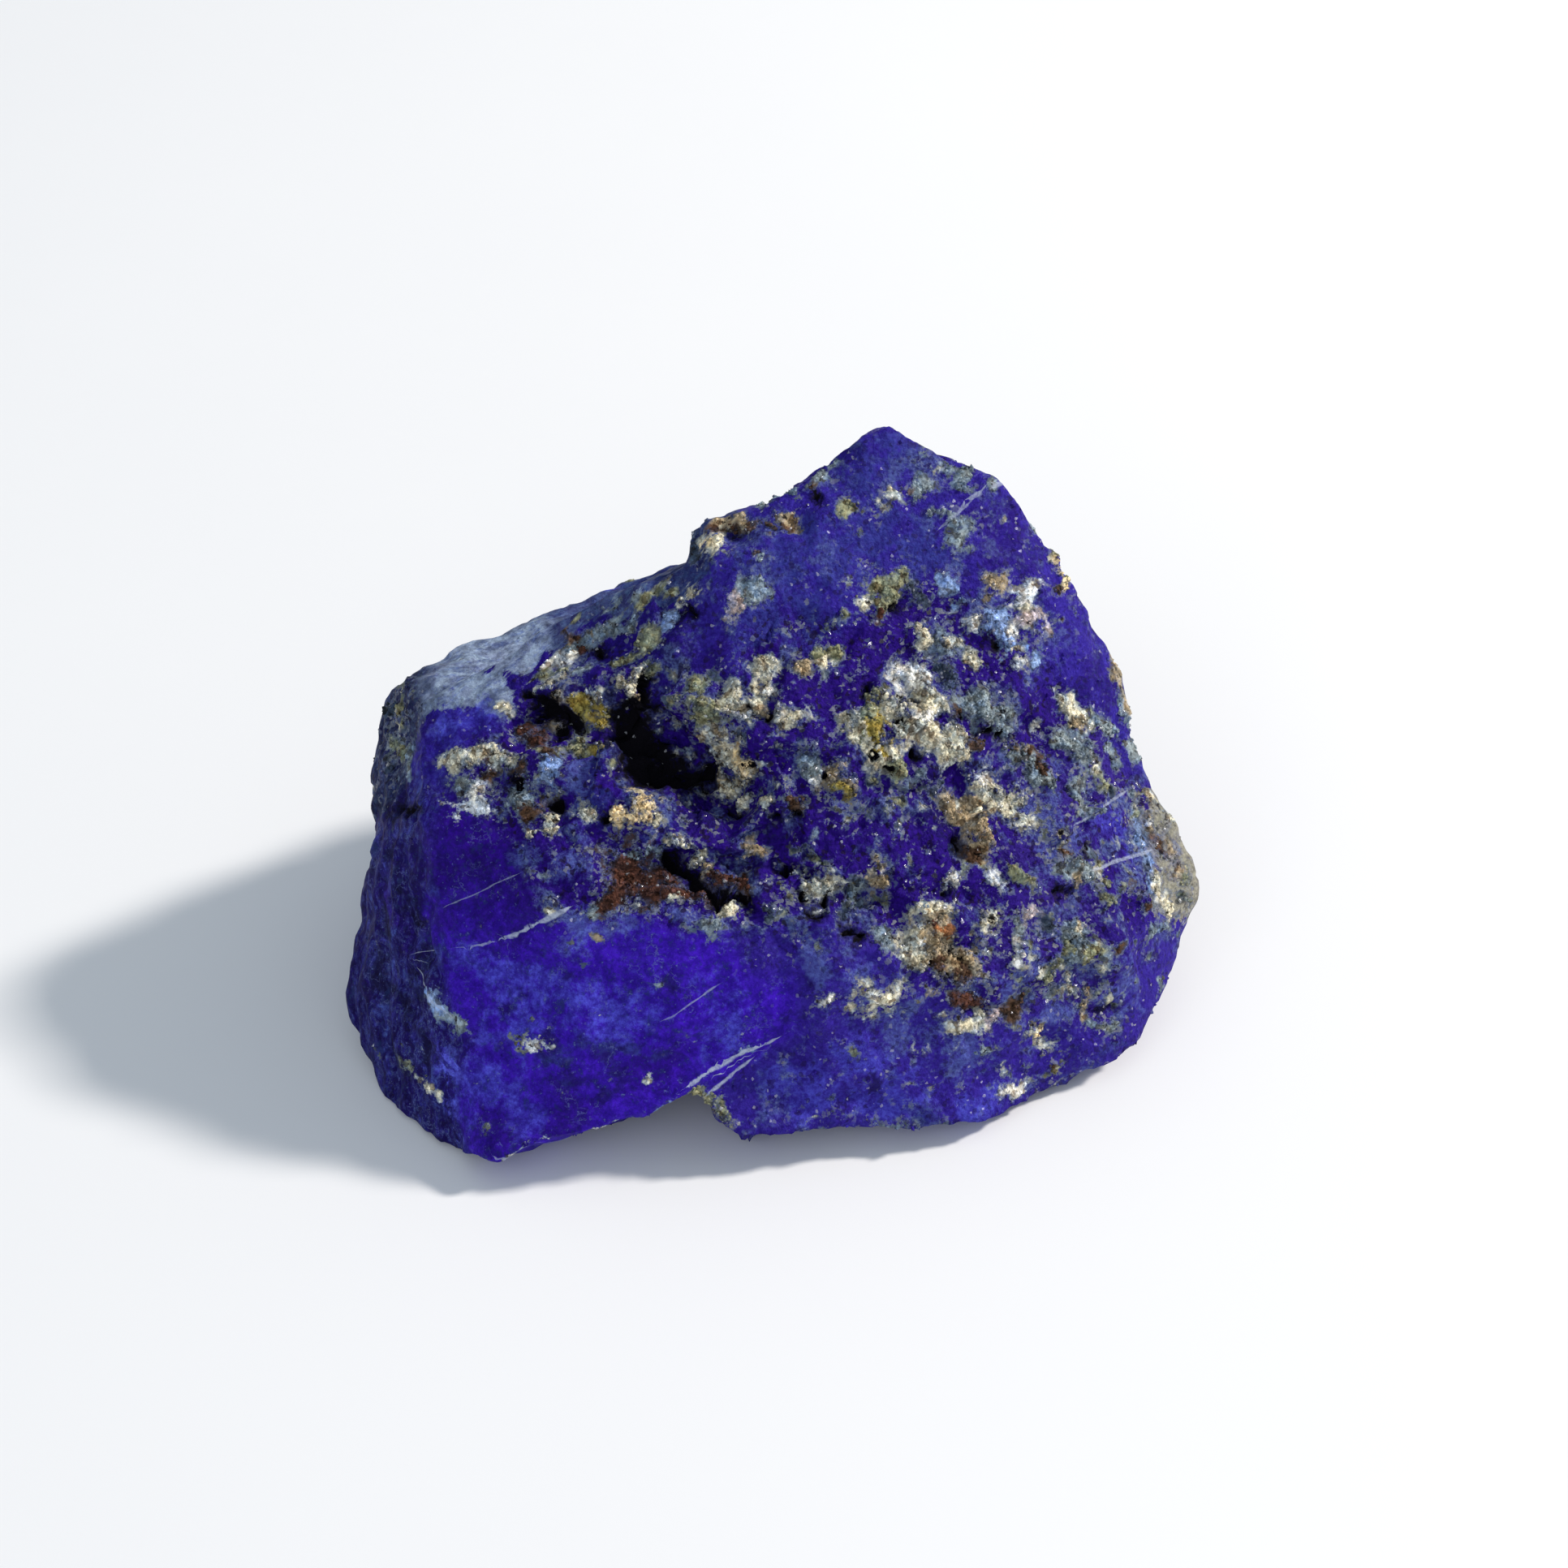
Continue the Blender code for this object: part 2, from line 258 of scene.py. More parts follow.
def fracture_planes(own_corners):
    """Normals of a block's faces and their distances from the heart: the faces of the smallest
    block without dents that holds its own corners and the shared ones."""
    block = bmesh.new()
    for corner in [*own_corners.values(), *SHARED_CORNERS.values()]:
        block.verts.new(corner)
    bmesh.ops.convex_hull(block, input=block.verts)
    block.normal_update()
    planes = []
    for face in block.faces:
        normal = np.array(face.normal)
        distance = normal @ (np.array(face.verts[0].co) - HEART)
        planes.append(np.append(normal, distance) * np.sign(distance))
    block.free()
    planes = np.unique(np.round(planes, 5), axis=0)
    return planes[:, :3], planes[:, 3]


BLOCKS = [fracture_planes(BODY_CORNERS), fracture_planes(SUMMIT_CORNERS)]


def block_reach(directions, planes):
    """How far a block reaches from the heart in each direction, with worn edges."""
    normals, distances = planes
    nearness = np.maximum(directions @ normals.T / distances, 0)
    return np.sum(nearness ** EDGE_CRISPNESS, axis=1) ** (-1 / EDGE_CRISPNESS)


def broken_reach(directions):
    """Reach of the two blocks grown together, less the notches that broke out of them."""
    body, summit = (block_reach(directions, planes) for planes in BLOCKS)
    longest = np.maximum(body, summit)
    shares = (body / longest) ** JOIN_CRISPNESS + (summit / longest) ** JOIN_CRISPNESS
    reach = FULLNESS * longest * shares ** (1 / JOIN_CRISPNESS)
    for planes in NOTCHES.values():
        limit = np.zeros(len(directions))
        for point, normal in planes:
            normal = np.array(normal) / np.linalg.norm(normal)
            distance = normal @ (np.array(point) - HEART)
            limit = np.maximum(limit, distance / np.maximum(directions @ normal, 1e-6))
        reach = np.minimum(reach, limit)
    return reach


def relief_depth(points, start, end, reach, depth):
    """Depth at the points of one hollow, or of one lump, along its stretch."""
    start = np.array(start)
    along = np.array(end) - start
    share = np.clip((points - start) @ along / (along @ along), 0, 1)
    distance = np.linalg.norm(points - start - share[:, None] * along, axis=1)
    return depth * np.clip(1 - (distance / reach) ** 2, 0, 1) ** 1.5


def stone_points(directions):
    """Points of the finished surface in the given directions from the heart, in millimetres."""
    points = HEART + directions * broken_reach(directions)[:, None]
    turned = points + waves(points, EDGE_WANDER, FIRST_SEED) - HEART
    turned += sum(waves(points, size, seed) for size, seed in EDGE_CHIPS)
    turned /= np.linalg.norm(turned, axis=1, keepdims=True)
    reach = broken_reach(turned)
    points = HEART + directions * reach[:, None]
    for number, size in enumerate((SWELL, LUMPS)):
        reach += swell(points, *size, FIRST_SEED + 10 + number)
    points += waves(points, RELIEF_WANDER, FIRST_SEED + 20)
    for feature in RELIEF.values():
        reach -= relief_depth(points, *feature)
    down = np.minimum(directions[:, 2], -1e-6)
    reach = np.minimum(reach, np.where(directions[:, 2] < 0, -HEART[2] / down, np.inf))
    points = HEART + directions * reach[:, None]
    points[points[:, 2] < GROUND_SNAP, 2] = 0.0
    return points


# The skin's grid: steps along a cube's edge, then how many times finer, and how it is spread.
COARSE_STEPS = 32
TIMES_FINER = 4
SPREAD_ROUNDS = 40
UPPER_FRONT = np.array([0.0, -0.6, 0.8])
FRONT_PULL = 0.35        # how much closer the grid's lines lie towards the upper front


def cube_grid(steps):
    """Six square grids on a cube's faces, whose lines are the tangents of even steps of angle."""
    lines = np.tan(np.linspace(-math.pi / 4, math.pi / 4, steps + 1))
    a, b = np.meshgrid(lines, lines, indexing="ij")
    one = np.ones_like(a)
    faces = [(one, a, b), (-one, b, a), (b, one, a), (a, -one, b), (a, b, one), (b, a, -one)]
    return np.stack([np.stack(face, axis=-1) for face in faces])


def merged(faces):
    """One number for each different point of the six grids, where their edges meet."""
    flat = np.round(faces.reshape(-1, 3), 6)
    _, first, number = np.unique(flat, axis=0, return_index=True, return_inverse=True)
    number = number.reshape(faces.shape[:3])
    corners = [number[:, :-1, :-1], number[:, 1:, :-1], number[:, 1:, 1:], number[:, :-1, 1:]]
    return first, number, np.stack([corner.ravel() for corner in corners], axis=1)


def added_up(values, places, count):
    """Sum of the rows of values that belong to each of the places."""
    return np.stack([np.bincount(places, column, count) for column in values.T], axis=1)


def unit(vectors):
    """The vectors, each divided by its length."""
    return vectors / np.linalg.norm(vectors, axis=-1, keepdims=True)


def spread_directions(directions, quads):
    """Each point moves halfway to the weighted mean of its neighbours, then back to the stone."""
    one_way = np.concatenate([quads[:, [side, (side + 1) % 4]] for side in range(4)])
    start, end = np.concatenate([one_way, one_way[:, ::-1]]).T
    for _ in range(SPREAD_ROUNDS):
        places = stone_points(directions)
        pull = 1 + FRONT_PULL * (directions[end] @ UPPER_FRONT)
        rows = np.column_stack([places[end] * pull[:, None], pull])
        sums = added_up(rows, start, len(places))
        places = (places + sums[:, :3] / sums[:, 3:]) / 2
        directions = unit(places - HEART)
    return directions


def finer(values, steps, times):
    """The grids' values at finer lines, in straight shares between the coarse ones."""
    line = np.linspace(0, steps, steps * times + 1)
    low = np.minimum(line.astype(int), steps - 1)
    shares = np.zeros((len(line), steps + 1))
    shares[np.arange(len(line)), low] = 1 - (line - low)
    shares[np.arange(len(line)), low + 1] = line - low
    return np.einsum("ai,fijk,bj->fabk", shares, values, shares)


def outward(points, quads):
    """Sums of the crossed diagonals of each point's quads: they point outwards, and are as long
    as the area of those quads is large."""
    a, b, c, d = (points[quads[:, side]] for side in range(4))
    crossed = np.cross(c - a, d - b) / 2
    return sum(added_up(crossed, quads[:, side], len(points)) for side in range(4))


coarse = cube_grid(COARSE_STEPS)
first, number, quads = merged(coarse)
coarse_directions = spread_directions(unit(coarse.reshape(-1, 3)[first]), quads)
fine = finer(coarse_directions[number], COARSE_STEPS, TIMES_FINER)
first, number, quads = merged(cube_grid(COARSE_STEPS * TIMES_FINER))
smooth_points = stone_points(unit(fine.reshape(-1, 3)[first]))
smooth_normals = unit(outward(smooth_points, quads))

# Lines of sight, and how the camera sees the grid's own points
LOOKS_AWAY = 0.25    # share of a normal along the view, past which its place isn't seen
OUT_OF_VIEW = 1e6    # steps
stone_faces = BVHTree.FromPolygons(smooth_points.tolist(), quads.tolist())
away = (smooth_points - STANDPOINT) @ ONWARDS
seen_right = VIEW_STEPS / 2 + (smooth_points - STANDPOINT)[:, 0] / away / STEP
seen_down = VIEW_STEPS / 2 - (smooth_points - STANDPOINT) @ UPWARDS / away / STEP
turned_away = smooth_normals @ ONWARDS > LOOKS_AWAY


def stone_place(right, down):
    """Where the line of sight at these steps of the view meets the stone, or, for one that just
    misses it, the place on the stone that is seen nearest to it."""
    aside = np.array([right - VIEW_STEPS / 2, 0, 0]) + (VIEW_STEPS / 2 - down) * UPWARDS
    hit = stone_faces.ray_cast(STANDPOINT.tolist(), (ONWARDS + STEP * aside).tolist())[0]
    if hit is not None:
        return np.array(hit)
    missed_by = np.hypot(seen_right - right, seen_down - down) + OUT_OF_VIEW * turned_away
    return smooth_points[missed_by.argmin()]


def stretches(rows):
    """Both ends and the reach in millimetres. A row gives one place or both ends of a stretch,
    right and down in the view, and then the reach or half the width, all in steps."""
    return [(stone_place(*ends[:2]), stone_place(*ends[-2:]), reach * STEP * DISTANCE)
            for *ends, reach in rows]


def paint(red, green, blue):
    """A colour given in steps of 0 to 255 as a screen shows it, as shares of light: by the
    screen's own curve, a straight start and then a power."""
    steps = np.array([red, green, blue]) / 255
    return np.where(steps > 0.04045, ((steps + 0.055) / 1.055) ** 2.4, steps / 12.92)


def smooth_step(values, low, high):
    """0 up to low, 1 from high, and 3 x^2 - 2 x^3 of the share x of the way between."""
    share = np.clip((values - low) / (high - low), 0, 1)
    return share * share * (3 - 2 * share)


def wandered(points, wander):
    """The points, shifted by smooth waves, so that what is measured from them has ragged edges."""
    return points + sum(waves(points, size, seed) for size, seed in wander)


def from_stretch(points, start, end):
    """Distance of the points from the straight line between two places."""
    along = end - start
    share = np.clip((points - start) @ along / max(along @ along, 1e-9), 0, 1)
    return np.linalg.norm(points - start - share[:, None] * along, axis=1)


# Kinds of skin: colour of the blue, how grainy it is, how far it has fibres down the left side
# and along the shelf, and how many stray freckles it has.
SKINS = {
    "main": (paint(36, 6, 116), 1.0, 0.0, 0.0, 0.42),
    "peppered": (paint(46, 26, 122), 1.0, 0.0, 0.0, 0.84),
    "high": (paint(46, 30, 140), 0.45, 0.0, 0.0, 0.12),
    "rim": (paint(34, 14, 118), 0.7, 0.0, 0.7, 0.25),
    "front": (paint(51, 14, 162), 0.12, 0.0, 0.0, 0.0),
    "violet": (paint(34, 0, 118), 0.05, 0.0, 0.0, 0.0),
    "right_front": (paint(46, 28, 136), 0.45, 0.0, 0.0, 0.2),
    # the left side's deep blue: its own colour, darkened further as painted shade of the side
    # facing away from the light
    "left": (paint(18, 3, 96), 0.1, 1.0, 0.0, 0.0),
    # greenish grey of the upper left side: its own colour, darkened as painted shade of the side
    # facing away from the light
    "mossy": (paint(31, 44, 74), 0.6, 0.5, 0.0, 0.8),
    "band": (paint(44, 26, 142), 0.3, 0.3, 0.2, 0.0),
    # pale grey-blue of the shelf on top: its own paler rock, made paler still as painted light of
    # the top face, lit from above and seen at a grazing angle
    "shelf": (paint(124, 139, 166), 0.15, 0.0, 1.0, 0.0),
    "shelf_middle": (paint(68, 80, 124), 0.15, 0.0, 1.0, 0.0),
    "shelf_high": (paint(46, 58, 110), 0.3, 0.0, 1.0, 0.0),
    "rind": (paint(146, 144, 130), 0.45, 0.0, 0.0, 0.5),
    "back": (paint(36, 16, 114), 0.9, 0.0, 0.0, 0.6),
    "under": (paint(36, 22, 112), 0.6, 0.0, 0.0, 0.4),
}
SKIN_BORDER = 0.5        # mm over which one kind of skin turns into the next
PALE_SKINS = ["mossy", "shelf", "shelf_middle", "shelf_high", "rind"]    # with ragged edges
PALE_LIMIT = 3.0         # mm, the furthest that matters from their edge
SKIN_WANDER = [((6.0, 1.4), 100), ((1.6, 0.45), 110)]    # waves of its borders: size and seed

# Places of each kind of skin, right and down in the view: the nearest one decides.
SKIN_PLACES = {
    "main": [
        (680, 1000), (640, 985), (600, 960), (720, 1060), (800, 1000), (900, 1000), (900, 1080),
        (1000, 900), (1000, 1000), (1100, 800), (1100, 900), (1200, 800), (1200, 900),
        (1200, 1000), (1300, 900), (1020, 1070), (1100, 1130), (1200, 1130), (1230, 1220),
        (900, 850), (960, 800), (720, 870), (650, 880), (760, 1090), (700, 1090), (850, 1110),
        (960, 1110), (1385, 1030), (1400, 1035), (1398, 1075), (1392, 1115),
    ],
    "high": [
        (960, 720), (1040, 690), (1060, 620), (1100, 570), (1140, 640), (1200, 620), (1240, 660),
        (1270, 700), (1330, 780), (880, 730), (1000, 650), (900, 780),
    ],
    "front": [
        (560, 1050), (600, 1100), (640, 1120), (545, 1150), (700, 1150), (800, 1170), (880, 1190),
        (600, 1200), (700, 1230), (700, 1320), (600, 1350), (640, 1400), (800, 1300), (900, 1250),
        (940, 1220), (780, 1360),
    ],
    "right_front": [
        (1030, 1230), (1100, 1290), (1170, 1310), (1250, 1300), (1310, 1270), (1390, 1210),
        (1000, 1340), (930, 1340), (1100, 1370), (1050, 1190), (960, 1160), (1400, 1170),
        (1425, 1185), (1440, 1182),
    ],
    "left": [
        (470, 1060), (500, 1080), (490, 1150), (465, 1150), (455, 1230), (490, 1250), (520, 1300),
        (480, 1310), (540, 1380), (505, 1010), (520, 1200),
    ],
    "mossy": [(475, 890), (490, 930), (470, 960), (500, 870), (485, 980)],
    "band": [(535, 900), (550, 885), (530, 935), (1394, 868), (1400, 912), (1388, 835)],
    "shelf": [(540, 840), (600, 820), (640, 800), (600, 850), (560, 860), (650, 785)],
    "shelf_high": [(830, 710), (785, 707), (835, 702)],
    "rind": [(1435, 1040), (1445, 1080), (1440, 1120), (1425, 1005)],
    "violet": [(562, 1020), (590, 1045), (560, 1075), (610, 1080), (640, 1098)],
    "shelf_middle": [(690, 750), (690, 772), (725, 737), (750, 725), (765, 740), (780, 728)],
    "rim": [(680, 835), (720, 815), (755, 795), (800, 780), (820, 755), (640, 840)],
    "peppered": [
        (1300, 950), (1350, 930), (1360, 1100), (1330, 1170), (1290, 1080), (1300, 1200),
        (1350, 1220), (1250, 1180), (1380, 960),
    ],
}
# The same on the far side and underneath, in millimetres.
HIDDEN_SKIN_PLACES = {
    "back": [
        (-10, 15.5, 12), (-1, 19, 10), (6, 17.5, 20), (14, 14, 16), (20, 8.5, 12), (8, 14.5, 28),
        (22, 5, 7), (-18, 10.5, 12), (-16, 12, 5), (0, 16, 24), (12, 13, 5), (-21, 8, 9),
    ],
    "left": [(-24, 1.5, 6)],
    "under": [
        (-14, -4, 0), (-4, 2, 0), (6, -4, 0), (12, 4, 0), (-4, -10, 1), (4, -14, 1.5),
        (18, -4, 1.5), (-8, -15, 3), (-19, -10, 0), (16, -9, 1),
    ],
}

# Clouds in the blue: right, down and reach in the view, with the colour in their middle. The
# darkest ones are partly painted shade in recesses, the front furrow and around the hollow.
CLOUD_COLOURS = {
    "violet": paint(30, 0, 104),
    "royal": paint(72, 72, 190),
    # darkest blue: partly the rock's own, partly painted shade in recesses, the furrow and around
    # the hollow
    "night_and_shade": paint(14, 14, 60),
    "milky": paint(84, 98, 166),
    "denim": paint(48, 56, 132),
    "moss": paint(30, 46, 84),
}
CLOUD_WANDER = [((3.0, 1.2), 120), ((1.0, 0.4), 130)]
BLUE_CLOUDS = {
    "violet": [
        (560, 1060, 60), (600, 1120, 45), (650, 1100, 35), (545, 1130, 35), (640, 1150, 25),
        (700, 1375, 45), (610, 1395, 35), (800, 1325, 35), (1240, 650, 40), (1225, 690, 28),
        (1265, 690, 24), (1345, 830, 30), (1365, 860, 25), (535, 900, 25),
        (505, 1085, 520, 1120, 8), (505, 1130, 525, 1165, 14), (470, 1100, 490, 1150, 14),
        (840, 800, 20), (880, 800, 20), (820, 880, 12), (838, 905, 12), (700, 842, 740, 838, 7),
    ],
    "royal": [
        (640, 1262, 38), (700, 1240, 32), (760, 1255, 38), (600, 1350, 42), (560, 1330, 28),
        (640, 1365, 30), (880, 1262, 32), (1000, 1350, 32), (960, 1335, 28), (1100, 1350, 45),
        (1050, 1300, 35), (1385, 1020, 26), (1395, 1050, 22), (1350, 990, 20), (550, 895, 25),
        (590, 880, 22), (580, 1180, 640, 1215, 16), (655, 1215, 700, 1235, 14), (575, 875, 12),
        (765, 722, 8), (758, 724, 10), (660, 800, 680, 793, 7), (1210, 1370, 30),
    ],
    # darkest clouds: partly dark blue rock, partly painted shade in recesses, the furrow and around
    # the hollow
    "night_and_shade": [
        (830, 1215, 16), (640, 1235, 10), (1070, 1330, 14), (1010, 1335, 12), (985, 1160, 10),
        (990, 1205, 12), (978, 1250, 10), (974, 1300, 8), (1350, 770, 24), (1335, 740, 18),
        (680, 990, 20), (850, 1010, 30), (920, 1060, 30), (1150, 980, 30), (700, 850, 20),
        (760, 850, 18), (500, 1095, 530, 1170, 16), (470, 1190, 500, 1260, 14),
        (662, 1190, 712, 1203, 6), (610, 1236, 665, 1240, 6), (670, 1290, 700, 1310, 10),
        (700, 1320, 740, 1345, 12), (745, 1300, 760, 1330, 10), (1040, 565, 1050, 590, 9),
        (760, 760, 12), (745, 760, 12), (850, 690, 12), (800, 890, 830, 925, 16),
        (750, 870, 770, 930, 16), (512, 1130, 514, 1165, 14), (505, 1180, 508, 1215, 12),
        (484, 1040, 482, 1060, 11), (470, 1120, 474, 1150, 11), (486, 1290, 500, 1330, 13),
        (520, 1270, 526, 1310, 10), (500, 960, 496, 985, 10), (478, 870, 490, 890, 11),
        (682, 763, 712, 756, 5), (722, 744, 742, 738, 4), (766, 714, 795, 706, 6),
    ],
    "milky": [
        (1000, 1180, 26), (1060, 1200, 26), (1110, 1270, 26), (700, 1060, 24), (720, 1150, 20),
        (780, 1135, 20), (850, 1135, 22), (650, 1060, 16), (1180, 1295, 32), (1260, 1210, 25),
        (1300, 1260, 25), (1380, 1220, 30), (675, 925, 16), (790, 930, 14),
        (1285, 975, 1312, 1045, 34), (712, 945, 735, 1005, 24), (752, 925, 16),
        (770, 1122, 830, 1128, 16), (1400, 1246, 12), (1336, 1320, 14),
    ],
    "denim": [
        (960, 710, 45), (1040, 690, 45), (1080, 650, 40), (1000, 760, 40), (920, 770, 35),
        (1130, 680, 35), (1060, 590, 30), (1110, 560, 25), (740, 1000, 30), (820, 1020, 25),
        (740, 935, 22), (1000, 660, 40), (516, 1040, 526, 1075, 9), (526, 1075, 541, 1118, 9),
        (541, 1118, 548, 1190, 8), (519, 940, 518, 1000, 8), (466, 1015, 458, 1090, 9),
        (480, 1150, 496, 1215, 9), (462, 1230, 476, 1290, 9), (530, 1300, 540, 1360, 8),
        (1385, 1285, 14), (1360, 1300, 16), (1300, 1345, 14), (1150, 1385, 16),
    ],
    "moss": [
        (632, 1290, 700, 1308, 13), (735, 1288, 800, 1302, 13), (700, 1334, 12), (586, 1262, 8),
        (640, 1195, 700, 1190, 7),
    ],
}

# Minerals by their colours, how ragged their patches are, and which of them are stray freckles.
# The black patches are pits: partly a dark lining, partly painted shade in the holes.
MINERAL_COLOURS = {
    "white": paint(228, 228, 224),
    "cream": paint(212, 208, 188),
    "sand": paint(240, 216, 170),
    "tan": paint(166, 150, 124),
    "ochre": paint(176, 156, 80),
    "olive": paint(144, 146, 118),
    "brown": paint(90, 68, 54),
    "rust": paint(150, 100, 66),
    "garnet": paint(86, 55, 46),
    "grey": paint(134, 148, 158),
    "slate": paint(60, 72, 88),
    "ice": paint(140, 166, 214),
    "pink": paint(198, 184, 188),
    # near black of the pits, fissures and slots: partly a dark lining, partly painted shade in the
    # holes
    "black": paint(8, 6, 12),
}
MINERAL_WANDER = [((1.3, 0.45), 140), ((0.6, 0.2), 150)]
SMALLEST_PATCH = 0.45    # mm, reach below which a patch's edge gets no softer
OUTER_FALL = 0.7         # how fast a share falls outside its reach, against inside
FAR_OUTSIDE = -1.5       # the share far from all patches
FRECKLE_COLOURS = ["grey", "cream", "olive", "slate", "grey"]
